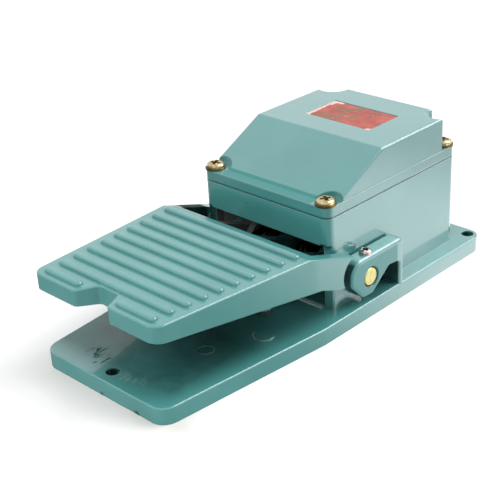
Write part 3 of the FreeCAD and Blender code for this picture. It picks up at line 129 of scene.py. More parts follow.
class Graph:
    """A material's node tree, with a method for each node that the finishes use."""

    COLOUR_INPUTS = (6, 7)
    COLOUR_OUTPUT = 2
    EDGE_SAMPLES = 4

    def __init__(self, name: str) -> None:
        """Make an empty material with a shader and an output.

        Args:
            name: Name of the material.
        """
        self.material = bpy.data.materials.new(name)
        self.material.use_nodes = True
        self.tree = self.material.node_tree
        self.shader = self.tree.nodes["Principled BSDF"]
        self.place = self.tree.nodes.new("ShaderNodeTexCoord").outputs["Object"]

    def link(self, source: Socket, target: Socket) -> None:
        """Join two sockets."""
        self.tree.links.new(source, target)

    def feed(self, name: str, value: Socket | float) -> None:
        """Give one of the shader's inputs its value.

        Args:
            name: Name of the input.
            value: A socket to join to it, or a plain number.
        """
        if isinstance(value, Socket):
            self.link(value, self.shader.inputs[name])
        else:
            self.shader.inputs[name].default_value = value

    def noise(self, scale: float, detail: float, roughness: float = 0.55,
              stretch: Triple = (1.0, 1.0, 1.0)) -> Socket:
        """Add a noise pattern on the piece's own coordinates.

        Args:
            scale: Blotches per metre.
            detail: Number of finer layers.
            roughness: Share of the finer layers.
            stretch: Scale along each axis.

        Returns:
            The noise value.
        """
        mapping = self.tree.nodes.new("ShaderNodeMapping")
        mapping.inputs["Scale"].default_value = stretch
        self.link(self.place, mapping.inputs["Vector"])
        node = self.tree.nodes.new("ShaderNodeTexNoise")
        node.inputs["Scale"].default_value = scale
        node.inputs["Detail"].default_value = detail
        node.inputs["Roughness"].default_value = roughness
        self.link(mapping.outputs["Vector"], node.inputs["Vector"])
        return node.outputs["Fac"]

    def uneven(self, scale: float, detail: float, low: float, high: float) -> Socket:
        """Give a value that wanders between low and high over the surface."""
        return self.span(self.noise(scale, detail), low, high)

    def axis(self, letter: str) -> Socket:
        """Give one coordinate of the piece's own place.

        Args:
            letter: Name of the axis.

        Returns:
            The coordinate, in metres.
        """
        node = self.tree.nodes.new("ShaderNodeSeparateXYZ")
        self.link(self.place, node.inputs["Vector"])
        return node.outputs[letter]

    def distance(self, place: Socket, centre: Vector) -> Socket:
        """Measure from a fixed point.

        Args:
            place: The place on the surface.
            centre: The fixed point.

        Returns:
            The distance between them, in metres.
        """
        node = self.tree.nodes.new("ShaderNodeVectorMath")
        node.operation = "DISTANCE"
        self.link(place, node.inputs[0])
        node.inputs[1].default_value = centre
        return node.outputs["Value"]

    def near(self, centre: Vector, reach: float, blur: float) -> Socket:
        """Give a value that is 1 close to a point and 0 beyond reach.

        Args:
            centre: The point, in metres.
            reach: Distance at which the value has fallen to 0.
            blur: Share of the reach over which it falls.

        Returns:
            The value.
        """
        return self.ramp(self.distance(self.place, centre), reach, reach * (1.0 - blur))

    def inside(self, low: Vector, high: Vector, blur: float) -> Socket:
        """Give a value that is 1 inside a box, with blurred sides.

        Args:
            low: Lowest corner.
            high: Highest corner.
            blur: Distance over which the value falls.

        Returns:
            The value.
        """
        share = None
        for letter, least, most in zip("XYZ", low, high):
            place = self.axis(letter)
            rises = self.ramp(place, least - blur, least + blur)
            falls = self.ramp(place, most + blur, most - blur)
            both = self.times(rises, falls)
            share = both if share is None else self.times(share, both)
        return share

    def column(self, centre: Vector, radius: float, blur: float) -> Socket:
        """Give a value that is 1 inside an upright column, with a blurred side.

        Args:
            centre: A point on the column's axis.
            radius: Radius of the column.
            blur: Distance over which the value falls.

        Returns:
            The value.
        """
        flat = self.tree.nodes.new("ShaderNodeVectorMath")
        flat.operation = "MULTIPLY"
        self.link(self.place, flat.inputs[0])
        flat.inputs[1].default_value = (1.0, 1.0, 0.0)
        away = self.distance(flat.outputs["Vector"], Vector((centre.x, centre.y, 0.0)))
        return self.ramp(away, radius + blur, radius - blur)

    def ramp(self, value: Socket, low: float, high: float, ease: Ease = Ease.EVEN) -> Socket:
        """Stretch a value so that low becomes 0 and high becomes 1.

        Args:
            value: The value.
            low: What becomes 0.
            high: What becomes 1.
            ease: How it rises between them.

        Returns:
            The stretched value.
        """
        node = self.tree.nodes.new("ShaderNodeMapRange")
        node.interpolation_type = ease.value
        node.inputs["From Min"].default_value = low
        node.inputs["From Max"].default_value = high
        self.link(value, node.inputs["Value"])
        return node.outputs["Result"]

    def span(self, value: Socket, low: float, high: float) -> Socket:
        """Turn a value between 0 and 1 into one between low and high.

        Args:
            value: The value.
            low: What 0 becomes.
            high: What 1 becomes.

        Returns:
            The new value.
        """
        node = self.tree.nodes.new("ShaderNodeMapRange")
        node.inputs["To Min"].default_value = low
        node.inputs["To Max"].default_value = high
        self.link(value, node.inputs["Value"])
        return node.outputs["Result"]

    def merge(self, how: Merge, first: Socket, second: Socket | float) -> Socket:
        """Make one value of two.

        Args:
            how: What is done with them.
            first: First value.
            second: Second value, or a plain number.

        Returns:
            The result.
        """
        node = self.tree.nodes.new("ShaderNodeMath")
        node.operation = how.value
        self.link(first, node.inputs[0])
        if isinstance(second, Socket):
            self.link(second, node.inputs[1])
        else:
            node.inputs[1].default_value = second
        return node.outputs["Value"]

    def times(self, first: Socket, second: Socket | float) -> Socket:
        """Multiply two values."""
        return self.merge(Merge.PRODUCT, first, second)

    def larger(self, first: Socket, second: Socket) -> Socket:
        """Give the larger of two values."""
        return self.merge(Merge.LARGER, first, second)

    def blend(self, share: Socket, first: Colour | Socket, second: Colour | Socket) -> Socket:
        """Mix two colours.

        Args:
            share: Share of the second colour.
            first: Colour where the share is 0.
            second: Colour where the share is 1.

        Returns:
            The mixed colour.
        """
        node = self.tree.nodes.new("ShaderNodeMix")
        node.data_type = "RGBA"
        self.link(share, node.inputs[0])
        for index, colour in zip(self.COLOUR_INPUTS, (first, second)):
            if isinstance(colour, tuple):
                node.inputs[index].default_value = (*colour, 1.0)
            else:
                self.link(colour, node.inputs[index])
        return node.outputs[self.COLOUR_OUTPUT]

    def bump(self, height: Socket, depth: float, strength: float,
             under: Socket | None = None) -> Socket:
        """Raise the surface by a height pattern.

        Args:
            height: Pattern between 0 and 1.
            depth: Depth of the relief in metres.
            strength: Share of the relief that is kept.
            under: Normal of a relief that lies below this one.

        Returns:
            The new normal.
        """
        node = self.tree.nodes.new("ShaderNodeBump")
        node.inputs["Strength"].default_value = strength
        node.inputs["Distance"].default_value = depth
        self.link(height, node.inputs["Height"])
        if under is not None:
            self.link(under, node.inputs["Normal"])
        return node.outputs["Normal"]

    def soft_edges(self, radius: float) -> Socket:
        """Round every edge in the shading.

        Args:
            radius: Radius of the rounding, in metres.

        Returns:
            The rounded normal.
        """
        node = self.tree.nodes.new("ShaderNodeBevel")
        node.samples = self.EDGE_SAMPLES
        node.inputs["Radius"].default_value = radius
        return node.outputs["Normal"]


@dataclass(frozen=True)
class Clouds:
    """Noise cut into cloudy shapes, which start at one noise value and are full at another."""

    scale: float
    detail: float
    start: float
    full: float
    roughness: float = 0.55
    stretch: Triple = (1.0, 1.0, 1.0)

    def share(self, graph: Graph) -> Socket:
        """Give a value that is 0 outside the clouds and 1 in them.

        Args:
            graph: The material's nodes.

        Returns:
            The value.
        """
        pattern = graph.noise(self.scale, self.detail, self.roughness, self.stretch)
        return graph.ramp(pattern, self.start, self.full)


TARNISH = Clouds(420.0, 4.0, 0.42, 0.75)
FINE_TARNISH = replace(TARNISH, scale=620.0)


@dataclass(frozen=True)
class Relief:
    """Slight unevenness of a surface, of which a share is kept."""

    scale: float
    detail: float
    depth: float
    strength: float

    def over(self, graph: Graph, under: Socket | None = None) -> Socket:
        """Lay the relief over another.

        Args:
            graph: The material's nodes.
            under: Normal of the relief below.

        Returns:
            The new normal.
        """
        height = graph.noise(self.scale, self.detail)
        return graph.bump(height, self.depth, self.strength, under)


class MarkKind(Enum):
    """What has marked the enamel."""

    PIT = "pit"
    CHIP = "chip"
    SCRATCHES = "scratches"


@dataclass(frozen=True)
class Mark:
    """A small flaw in the enamel at a place on the casting, in metres.

    The noise that makes a chip ragged is given by its scale and its detail.
    """

    kind: MarkKind
    centre: Vector
    reach: float
    colour: Colour
    pit_blur: float = 0.4
    chip_blur: float = 0.9
    chip_noise: Pair = (700.0, 3.0)
    chip_ragged: Pair = (0.6, 1.4)
    chip_edge: Pair = (0.3, 0.4)
    scratch_blur: float = 0.5
    scratch_lines: Clouds = Clouds(520.0, 3.0, 0.55, 0.59, 0.6, (1.0, 0.4, 1.0))

    def share(self, graph: Graph) -> Socket:
        """Give a value that is 1 inside the mark.

        Args:
            graph: The material's nodes.

        Returns:
            The value.
        """
        if self.kind is MarkKind.PIT:
            return graph.near(self.centre, self.reach, self.pit_blur)
        if self.kind is MarkKind.CHIP:
            ragged = graph.uneven(*self.chip_noise, *self.chip_ragged)
            round_spot = graph.near(self.centre, self.reach, self.chip_blur)
            return graph.ramp(graph.times(round_spot, ragged), *self.chip_edge)
        lines = self.scratch_lines.share(graph)
        return graph.times(lines, graph.near(self.centre, self.reach, self.scratch_blur))


@dataclass(frozen=True)
class Patch:
    """A box of a casting where the enamel is thin or dull, or where shade is painted, in metres.
    """

    low: Vector
    high: Vector
    colour: Colour
    cover: float = 1.0
    roughness: float = 0.6
    coat: float = 0.1
    blur: float = 0.4 * MM
    radius: float = 0.0

    def mirrored(self) -> "Patch":
        """Mirror the patch to the casting's other side.

        Returns:
            The same patch there.
        """
        low = Vector((-self.high.x, self.low.y, self.low.z))
        high = Vector((-self.low.x, self.high.y, self.high.z))
        return replace(self, low=low, high=high)

    def share(self, graph: Graph) -> Socket:
        """Give a value that is 1 in the box or, with a radius, in the column in its middle.

        Args:
            graph: The material's nodes.

        Returns:
            The value.
        """
        boxed = graph.inside(self.low, self.high, self.blur)
        if not self.radius:
            return boxed
        middle = (self.low + self.high) / 2
        return graph.times(boxed, graph.column(middle, self.radius, self.blur))


@dataclass(frozen=True)
class Enamel:
    """Glossy enamel on a casting, a little uneven, with a few marks.

    The noise of its dullness and of its clear coat is given by its scale and its detail.
    """

    colour: Colour = srgb(70, 138, 136)
    light_colour: Colour = srgb(78, 146, 143)
    speck_colour: Colour = srgb(44, 96, 95)
    roughness: float = 0.24
    coat_roughness: float = 0.06
    coat_ior: float = 1.65
    coat_weight: float = 1.0
    edge_radius: float = 0.6 * MM
    blotches: Clouds = Clouds(26.0, 4.0, 0.35, 0.65)
    specks: Clouds = Clouds(1300.0, 2.0, 0.74, 0.79)
    speck_cover: float = 0.4
    dull_noise: Pair = (140.0, 3.0)
    dull_spread: Pair = (-0.05, 0.06)
    waves: Relief = Relief(48.0, 2.0, 0.3 * MM, 0.3)
    grain: Relief = Relief(420.0, 2.0, 0.012 * MM, 0.25)
    coat_noise: Pair = (200.0, 2.0)
    thin_coat: float = 0.94
    coat_specular: float = 0.8
    mark_roughness: float = 0.6
    mark_coat: float = 0.12
    mark_depth: float = 0.08 * MM
    mark_relief: float = 0.5
    # Blotchy cover of the patches: grime on the dirty ones, uneven painted shade on the shaded
    # ones.
    grime_and_shade: Clouds = Clouds(110.0, 4.0, 0.3, 0.7)
    grime_and_shade_share: float = 0.75

    def build(self, name: str, marks: tuple[Mark, ...] = (),
              patches: tuple[Patch, ...] = ()) -> bpy.types.Material:
        """Make the material.

        Args:
            name: Name of the material.
            marks: Flaws to show.
            patches: Places with thin or dirty enamel, or with painted shade.

        Returns:
            The material.
        """
        graph = Graph(name)
        colour = graph.blend(self.blotches.share(graph), self.colour, self.light_colour)
        specks = graph.times(self.specks.share(graph), self.speck_cover)
        colour = graph.blend(specks, colour, self.speck_colour)
        smooth, dull = (self.roughness + step for step in self.dull_spread)
        rough = graph.uneven(*self.dull_noise, smooth, dull)
        normal = self.waves.over(graph, graph.soft_edges(self.edge_radius))
        normal = self.grain.over(graph, normal)
        thin = self.coat_weight * self.thin_coat
        coat = graph.uneven(*self.coat_noise, self.coat_weight, thin)
        for mark in marks:
            share = mark.share(graph)
            colour = graph.blend(share, colour, mark.colour)
            rough = graph.larger(rough, graph.times(share, self.mark_roughness))
            coat = graph.times(coat, graph.span(share, 1.0, self.mark_coat))
            height = graph.span(share, 1.0, 0.0)
            normal = graph.bump(height, self.mark_depth, self.mark_relief, normal)
        for patch in patches:
            share = patch.share(graph)
            # Each patch's cover is blotchy, whether it is dirt or painted shade.
            least = patch.cover * self.grime_and_shade_share
            grime_and_shade = graph.span(self.grime_and_shade.share(graph), patch.cover, least)
            colour = graph.blend(graph.times(share, grime_and_shade), colour, patch.colour)
            rough = graph.larger(rough, graph.times(share, patch.roughness))
            coat = graph.times(coat, graph.span(share, 1.0, patch.coat))
        graph.feed("Base Color", colour)
        graph.feed("Roughness", rough)
        graph.feed("Coat Weight", coat)
        graph.feed("Specular IOR Level", graph.times(coat, self.coat_specular))
        graph.feed("Coat Roughness", self.coat_roughness)
        graph.feed("Coat IOR", self.coat_ior)
        graph.feed("Normal", normal)
        graph.feed("Coat Normal", normal)
        return graph.material


@dataclass(frozen=True)
class Plated:
    """Bare or plated metal with fine turning marks and a little tarnish."""

    colour: Colour
    tarnish: Colour
    roughness: float = 0.22
    tarnish_share: float = 0.5
    clouds: Clouds = TARNISH
    dulling: float = 0.2
    grain: Relief = Relief(1400.0, 2.0, 0.02 * MM, 0.3)
    edge_radius: float = 0.12 * MM
    # Half-length of the middle that painted shade darkens; 0 for none.
    shade_half_length: float = 0.0
    middle_shade: Colour = srgb(30, 26, 22)

    def build(self, name: str) -> bpy.types.Material:
        """Make the material, darkened with painted shade between the two ends where it has a
        shaded middle.

        Args:
            name: Name of the material.

        Returns:
            The material.
        """
        graph = Graph(name)
        cloud = self.clouds.share(graph)
        tarnished = graph.times(cloud, self.tarnish_share)
        colour = graph.blend(tarnished, self.colour, self.tarnish)
        # Painted shade over the middle of the piece, between the two ends.
        if self.shade_half_length:
            reach = Vector((self.shade_half_length, 1.0, 1.0))
            colour = graph.blend(graph.inside(-reach, reach, MM), colour, self.middle_shade)
        graph.feed("Base Color", colour)
        graph.feed("Metallic", 1.0)
        graph.feed("Roughness", graph.span(cloud, self.roughness, self.roughness + self.dulling))
        graph.feed("Normal", self.grain.over(graph, graph.soft_edges(self.edge_radius)))
        return graph.material


@dataclass(frozen=True)
class Moulded:
    """Rubber or plastic with a fine grain."""

    colour: Colour
    worn: Colour
    roughness: float = 0.55
    clouds: Clouds = Clouds(180.0, 4.0, 0.4, 0.8)
    dull_spread: Pair = (-0.05, 0.12)
    grain: Relief = Relief(1600.0, 2.0, 0.03 * MM, 0.5)
    edge_radius: float = 0.2 * MM

    def build(self, name: str) -> bpy.types.Material:
        """Make the material.

        Args:
            name: Name of the material.

        Returns:
            The material.
        """
        graph = Graph(name)
        cloud = self.clouds.share(graph)
        graph.feed("Base Color", graph.blend(cloud, self.colour, self.worn))
        smooth, dull = (self.roughness + step for step in self.dull_spread)
        graph.feed("Roughness", graph.span(cloud, smooth, dull))
        graph.feed("Normal", self.grain.over(graph, graph.soft_edges(self.edge_radius)))
        return graph.material


@dataclass(frozen=True)
class FadedLacquer:
    """Red film on a thin plate, faded and mottled."""

    red: Colour = srgb(172, 82, 72)
    deep_red: Colour = srgb(146, 64, 56)
    ochre: Colour = srgb(112, 92, 68)
    pale: Colour = srgb(200, 150, 138)
    roughness: float = 0.5
    rubbed_roughness: float = 0.6
    clouds: Clouds = Clouds(150.0, 4.0, 0.38, 0.62)
    stains: Clouds = Clouds(120.0, 4.0, 0.47, 0.58, 0.6, (0.8, 1.2, 1.0))
    stain_cover: float = 0.8
    stain_blur: float = 5.0 * MM
    stained_low: Vector = field(default_factory=lambda: mm(-17.0, 0.0, 0.0))
    stained_high: Vector = field(default_factory=lambda: mm(10.0, 200.0, 200.0))
    rubs: Clouds = Clouds(310.0, 6.0, 0.58, 0.68, 0.7, (0.6, 1.5, 1.0))
    rub_cover: float = 0.6
    relief: Relief = Relief(420.0, 3.0, 0.06 * MM, 0.5)

    def build(self, name: str) -> bpy.types.Material:
        """Make the material.

        Args:
            name: Name of the material.

        Returns:
            The material.
        """
        graph = Graph(name)
        colour = graph.blend(self.clouds.share(graph), self.red, self.deep_red)
        stains = self.stains.share(graph)
        middle = graph.inside(self.stained_low, self.stained_high, self.stain_blur)
        stains = graph.times(graph.times(stains, middle), self.stain_cover)
        colour = graph.blend(stains, colour, self.ochre)
        rubs = self.rubs.share(graph)
        colour = graph.blend(graph.times(rubs, self.rub_cover), colour, self.pale)
        graph.feed("Base Color", colour)
        graph.feed("Roughness", graph.span(rubs, self.roughness, self.rubbed_roughness))
        graph.feed("Normal", self.relief.over(graph))
        return graph.material


def dress(node: bpy.types.Object, material: bpy.types.Material) -> None:
    """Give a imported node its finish, in every slot that it has.

    Args:
        node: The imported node.
        material: Its finish.
    """
    if not node.material_slots:
        node.data.materials.append(material)
    for slot in node.material_slots:
        slot.material = material


def put(name: str, data: bpy.types.ID) -> bpy.types.Object:
    """Make an object and put it in the scene.

    Args:
        name: Name of the object.
        data: Its mesh, lamp or camera.

    Returns:
        The new object.
    """
    item = bpy.data.objects.new(name, data)
    bpy.context.scene.collection.objects.link(item)
    return item


def piece_from(mesh: bmesh.types.BMesh, name: str, *materials: bpy.types.Material,
               sharp_angle: float = 35.0) -> bpy.types.Object:
    """Turn modelled geometry into a piece with its finish.

    Args:
        mesh: The geometry, which is freed.
        name: Name of the piece.
        materials: Its finishes, in the order of the faces' numbers.
        sharp_angle: Edges that turn by more than this many degrees stay sharp.

    Returns:
        The new piece.
    """
    bmesh.ops.recalc_face_normals(mesh, faces=mesh.faces)
    for face in mesh.faces:
        face.smooth = True
    data = bpy.data.meshes.new(name)
    mesh.to_mesh(data)
    mesh.free()
    data.set_sharp_from_angle(angle=math.radians(sharp_angle))
    for material in materials:
        data.materials.append(material)
    LOG.info("piece %s: %d faces", name, len(data.polygons))
    return put(name, data)


def drawn_out(mesh: bmesh.types.BMesh, rim: list) -> tuple[list, list]:
    """Extrude a closed rim of edges on the spot.

    Args:
        mesh: The geometry.
        rim: The rim's edges.

    Returns:
        The new rim's vertices and its edges.
    """
    drawn = bmesh.ops.extrude_edge_only(mesh, edges=rim)["geom"]
    verts = [item for item in drawn if isinstance(item, bmesh.types.BMVert)]
    edges = [item for item in drawn if isinstance(item, bmesh.types.BMEdge)
             and item.verts[0] in verts and item.verts[1] in verts]
    return verts, edges


@dataclass(frozen=True)
class CrossScrew:
    """Pan-head screw with a cross recess, its head standing at height zero."""

    head: float
    rise: float
    thread: float
    length: float
    cross: float
    pitch: float
    rim_share: float = 0.34
    flat_share: float = 0.56
    reach_share: float = 0.36
    depth_share: float = 0.66
    floor_share: float = 0.5
    shank_depth: float = 0.5
    tip_share: float = 0.6
    ridge_depth: float = 0.6
    ridge_half: float = 0.42
    weld_share: float = 0.001
    first_turn: float = 0.35
    next_turn: float = 1.1
    sides: int = 40
    dome_steps: int = 6
    turn_steps: int = 14

    def outline(self) -> list[Vector]:
        """Draw half of the screw.

        Returns:
            Its points, from the edge of the head's flat top round to the tip.
        """
        half = self.head / 2
        rim = self.rise * self.rim_share
        flat = half * self.flat_share
        points = []
        for step in range(self.dome_steps + 1):
            turn = QUARTER_TURN * (1 - step / self.dome_steps)
            points.append(Vector((flat + (half - flat) * math.cos(turn), 0,
                                  rim + (self.rise - rim) * math.sin(turn))))
        root = self.thread / 2 - self.pitch * self.shank_depth
        return points + [Vector((half, 0, 0)), Vector((root, 0, 0)),
                         Vector((root, 0, self.pitch - self.length)),
                         Vector((root * self.tip_share, 0, -self.length)),
                         Vector((0, 0, -self.length))]

    def head_and_shank(self, mesh: bmesh.types.BMesh) -> None:
        """Spin the outline and sink the cross into the top, its faces taking the second
        material, which paints shade into the recess.

        Args:
            mesh: Where the screw goes.
        """
        verts = [mesh.verts.new(point) for point in self.outline()]
        edges = [mesh.edges.new(pair) for pair in zip(verts, verts[1:])]
        bmesh.ops.spin(mesh, geom=verts + edges, cent=(0, 0, 0), axis=(0, 0, 1),
                       angle=FULL_TURN, steps=self.sides, use_merge=True)
        bmesh.ops.remove_doubles(mesh, verts=mesh.verts, dist=self.pitch * self.weld_share)
        rim = [edge for edge in mesh.edges if edge.is_boundary]
        reach, half = self.head * self.reach_share, self.cross / 2
        bends = ((reach, half), (half, half), (half, reach))
        corner = [Vector((x, y, self.rise)) for x, y in bends]
        ring = [mesh.verts.new(Matrix.Rotation(quarter * QUARTER_TURN, 3, "Z") @ point)
                for quarter in range(4) for point in corner]
        slot = [mesh.edges.new((ring[index - 1], ring[index])) for index in range(len(ring))]
        bmesh.ops.bridge_loops(mesh, edges=rim + slot)
        outside = set(mesh.faces)
        foot, floor = drawn_out(mesh, slot)
        bmesh.ops.scale(mesh, vec=(self.floor_share, self.floor_share, 1.0), verts=foot)
        bmesh.ops.translate(mesh, vec=(0, 0, -self.rise * self.depth_share), verts=foot)
        bmesh.ops.triangle_fill(mesh, edges=floor, use_beauty=True)
        # The recess faces take the second material: painted shade in the cross.
        for face in set(mesh.faces) - outside:
            face.material_index = 1

    def thread_ridge(self, mesh: bmesh.types.BMesh) -> None:
        """Wind the thread's ridge round the shank.

        Args:
            mesh: Where the screw goes.
        """
        crest = self.thread / 2
        root = crest - self.pitch * self.ridge_depth
        start = self.pitch - self.length
        turns = (self.length - 2 * self.pitch) / self.pitch
        profile = ((root, -self.ridge_half), (crest, 0.0), (root, self.ridge_half))
        corners = [mesh.verts.new((radius, 0, start + lift * self.pitch))
                   for radius, lift in profile]
        section = mesh.faces.new(corners)
        steps = int(turns * self.turn_steps)
        bmesh.ops.spin(mesh, geom=[section] + list(section.edges) + corners, cent=(0, 0, 0),
                       axis=(0, 0, 1), dvec=(0, 0, turns * self.pitch / steps),
                       angle=FULL_TURN * turns, steps=steps)

    def build(self, name: str, spots: list[Vector],
              *materials: bpy.types.Material) -> bpy.types.Object:
        """Make one piece of several like screws, each turned its own way.

        Args:
            name: Name of the piece.
            spots: Where the heads stand.
            materials: Finish of the screws, and the darker colour painted into their recesses as
                shade.

        Returns:
            The piece.
        """
        single = bmesh.new()
        self.head_and_shank(single)
        self.thread_ridge(single)
        data = bpy.data.meshes.new(name + "_single")
        single.to_mesh(data)
        single.free()
        mesh = bmesh.new()
        for index, spot in enumerate(spots):
            before = len(mesh.verts)
            mesh.from_mesh(data)
            mesh.verts.ensure_lookup_table()
            turn = Matrix.Rotation(self.first_turn + self.next_turn * index, 4, "Z")
            bmesh.ops.transform(mesh, matrix=Matrix.Translation(spot) @ turn,
                                verts=mesh.verts[before:])
        bpy.data.meshes.remove(data)
        return piece_from(mesh, name, *materials)


@dataclass(frozen=True)
class Wire:
    """Round spring wire wound into turns."""

    diameter: float
    radius: float
    pitch: float
    turns: float
    sides: int = 14
    steps_per_turn: int = 36

    def wind(self, mesh: bmesh.types.BMesh, start: Vector, centre: Vector,
             axis: Vector) -> tuple[list, list]:
        """Wind the turns, starting along Y, with both ends open.

        Args:
            mesh: Where the wire goes.
            start: Middle of the wire at the first turn's start.
            centre: Point on the coil's axis.
            axis: Direction of the coil's axis.

        Returns:
            The edges round the first end and round the last end.
        """
        facing = Vector((0.0, 1.0, 0.0)).to_track_quat("Z", "Y").to_matrix().to_4x4()
        ring = bmesh.ops.create_circle(mesh, segments=self.sides, radius=self.diameter / 2,
                                       matrix=Matrix.Translation(start) @ facing)["verts"]
        first = list({edge for vert in ring for edge in vert.link_edges})
        steps = int(self.steps_per_turn * self.turns)
        wound = bmesh.ops.spin(mesh, geom=ring + first, cent=centre, axis=axis,
                               dvec=axis * (self.pitch * self.turns / steps),
                               angle=FULL_TURN * self.turns, steps=steps)["geom_last"]
        return first, [item for item in wound if isinstance(item, bmesh.types.BMEdge)]

    @staticmethod
    def leg(mesh: bmesh.types.BMesh, rim: list, run: Vector) -> None:
        """Draw one end out into a straight leg and close it.

        Args:
            mesh: The wire.
            rim: Edges round its open end.
            run: The leg's length and direction.
        """
        verts, edges = drawn_out(mesh, rim)
        bmesh.ops.translate(mesh, vec=run, verts=verts)
        bmesh.ops.edgeloop_fill(mesh, edges=edges)


@dataclass
class Castings:
    """The three enamelled castings. Their right side's patches are mirrored to the left."""

    enamel: Enamel = Enamel()
    cover_enamel: Enamel = Enamel(srgb(66, 130, 128), srgb(73, 137, 135), edge_radius=1.0 * MM)
    treadle_enamel: Enamel = Enamel(srgb(67, 133, 131), srgb(75, 141, 138), roughness=0.3,
                                    coat_roughness=0.14, coat_weight=0.8)
    dark_mark: Colour = srgb(20, 46, 46)
    pale_mark: Colour = srgb(112, 150, 144)
    faint_mark: Colour = srgb(78, 116, 108)
    nick: Colour = srgb(52, 84, 83)
    cast_grey: Colour = srgb(196, 182, 178)
    # Painted shade: near-black colour laid where shade falls, in the windows, gaps, holes and
    # hub ribs.
    painted_shade: Colour = srgb(15, 24, 25)
    # Painted shade, grey-brown, for the treadle's left hub ribs under the housing.
    grey_painted_shade: Colour = srgb(100, 92, 88)
    dusty: Colour = srgb(66, 126, 124)
    # Painted shade for the cheeks, the plate under the treadle, the step below the cover's slope
    # and the screw pockets.
    cheek_shade: Colour = srgb(10, 30, 31)
    plate_shade: Colour = srgb(40, 78, 76)
    step_shade: Colour = srgb(60, 124, 121)
    pocket_shade: Colour = srgb(22, 62, 62)
    shaft_ring: float = 5.85 * MM
    ring_blur: float = 0.06
    hole_low: Vector = field(default_factory=lambda: mm(-3.6, -3.6, -1.0))
    hole_high: Vector = field(default_factory=lambda: mm(3.6, 3.6, 8.4))
    pocket_radius: float = 7.6 * MM
    pocket_half: Vector = field(default_factory=lambda: mm(12.0, 12.0, 6.4))

    def base_marks(self) -> tuple[Mark, ...]:
        """Place the flaws on the base.

        Returns:
            Scratches by the front hole, chips in the edge, a ring of painted shade round each
            end of the shaft and a pit.
        """
        scratched = ((mm(-20.5, -105.0, 9.0), 7.0 * MM, self.dark_mark),
                     (mm(-12.5, -108.5, 9.0), 6.5 * MM, self.dark_mark),
                     (mm(8.5, -110.5, 9.0), 5.0 * MM, self.pale_mark),
                     (mm(16.5, -109.0, 9.0), 4.5 * MM, self.pale_mark),
                     (mm(11.7, -59.2, 9.0), 4.2 * MM, self.faint_mark))
        chipped = ((mm(0.2, -120.0, 0.6), 1.7 * MM), (mm(25.4, -120.0, 0.2), 2.6 * MM))
        # Painted shadow: a dark disc round each end of the shaft, where the gap round it lies in
        # shade.
        ringed = (mm(53.3, 18.2, 23.2), mm(-53.3, 18.2, 23.2))
        return (*(Mark(MarkKind.SCRATCHES, *flaw) for flaw in scratched),
                *(Mark(MarkKind.CHIP, *flaw, self.nick) for flaw in chipped),
                *(Mark(MarkKind.PIT, centre, self.shaft_ring, self.painted_shade, self.ring_blur)
                  for centre in ringed),
                Mark(MarkKind.PIT, mm(-12.3, -4.3, 54.8), 0.5 * MM, self.dark_mark))

    def hole_with_shade(self, foot: Vector) -> Patch:
        """Paint shade into the fixing hole over a point of the underside, up to near its rim."""
        return Patch(foot + self.hole_low, foot + self.hole_high, self.painted_shade)

    def base_patches(self) -> tuple[Patch, ...]:
        """Place the bare spots and the painted shade of the base.

        Returns:
            The plate's painted shade under the treadle, the arch, the holes, and the corners and
            windows by the shaft.
        """
        # Painted shade on the plate under the treadle, with a duller coat.
        plate = Patch(mm(-70.0, -112.0, -10.0), mm(40.0, -50.0, 30.0), self.plate_shade,
                      cover=0.8, roughness=0.25, coat=0.4, blur=6.0 * MM)
        arch = Patch(mm(-38.6, -4.0, 10.8), mm(38.6, 47.0, 45.6), self.cast_grey)
        # Painted shade on the cheeks' front faces under the front wall.
        cheek = Patch(mm(38.4, -6.0, 30.0), mm(44.5, -3.6, 46.5), self.cheek_shade,
                      roughness=0.5, coat=0.05)
        corner = replace(cheek.mirrored(), high=mm(-38.4, 4.0, 46.0))
        # Painted shade in the window under the lug.
        window = Patch(mm(39.0, 21.0, 9.2), mm(52.6, 42.0, 23.0), self.painted_shade)
        # Painted shade on the front of the lug's nose, in the gap behind the treadle's arm.
        nose = Patch(mm(45.3, -3.0, 12.0), mm(52.4, 9.0, 34.0), self.painted_shade,
                     cover=0.9, roughness=0.5, coat=0.2)
        face = Patch(mm(52.7, -3.0, 9.6), mm(54.0, 40.0, 33.6), self.dusty,
                     cover=0.5, roughness=0.3, coat=0.35)
        paired = (cheek, window, nose, face, self.hole_with_shade(mm(47.0, 114.0, 0.0)))
        return (plate, arch, self.hole_with_shade(mm(0.0, -112.0, 0.0)), corner, *paired,
                *(patch.mirrored() for patch in paired))

    def treadle_patches(self) -> tuple[Patch, ...]:
        """Place the painted shade and the dull rim of the treadle.

        Returns:
            Its hub ribs, its rear rim and the inside of its left arm.
        """
        # Painted shade on the hub ribs under the housing.
        hubs = Patch(mm(-20.0, -26.0, 10.0), mm(34.0, 40.0, 46.0), self.painted_shade, cover=0.9)
        # Painted shade, grey-brown, on the left hub ribs.
        left_hub_shade = Patch(mm(-34.0, -26.0, 10.0), mm(-20.0, 40.0, 46.0), self.grey_painted_shade,
                         cover=0.95, roughness=0.5)
        rim = Patch(mm(-50.0, -27.5, 46.0), mm(50.0, -20.0, 53.0), self.dusty,
                    cover=0.4, roughness=0.4, coat=0.3, blur=1.0 * MM)
        # Painted shade on the inside of the left arm.
        arm = Patch(mm(-51.8, -19.0, 24.0), mm(-45.0, -1.0, 50.0), self.painted_shade,
                    coat=0.05, blur=1.0 * MM)
        return hubs, left_hub_shade, rim, arm

    def cover_patches(self) -> tuple[Patch, ...]:
        """Place the painted shade of the cover, where its coat is also duller.

        Returns:
            The step in front of its slope and its four screw pockets.
        """
        # Painted shade on the step below the slope, with a duller coat.
        step = Patch(mm(-32.0, -3.9, 65.7), mm(32.0, 4.2, 67.5), self.step_shade,
                     roughness=0.4, coat=0.2, blur=0.2 * MM)
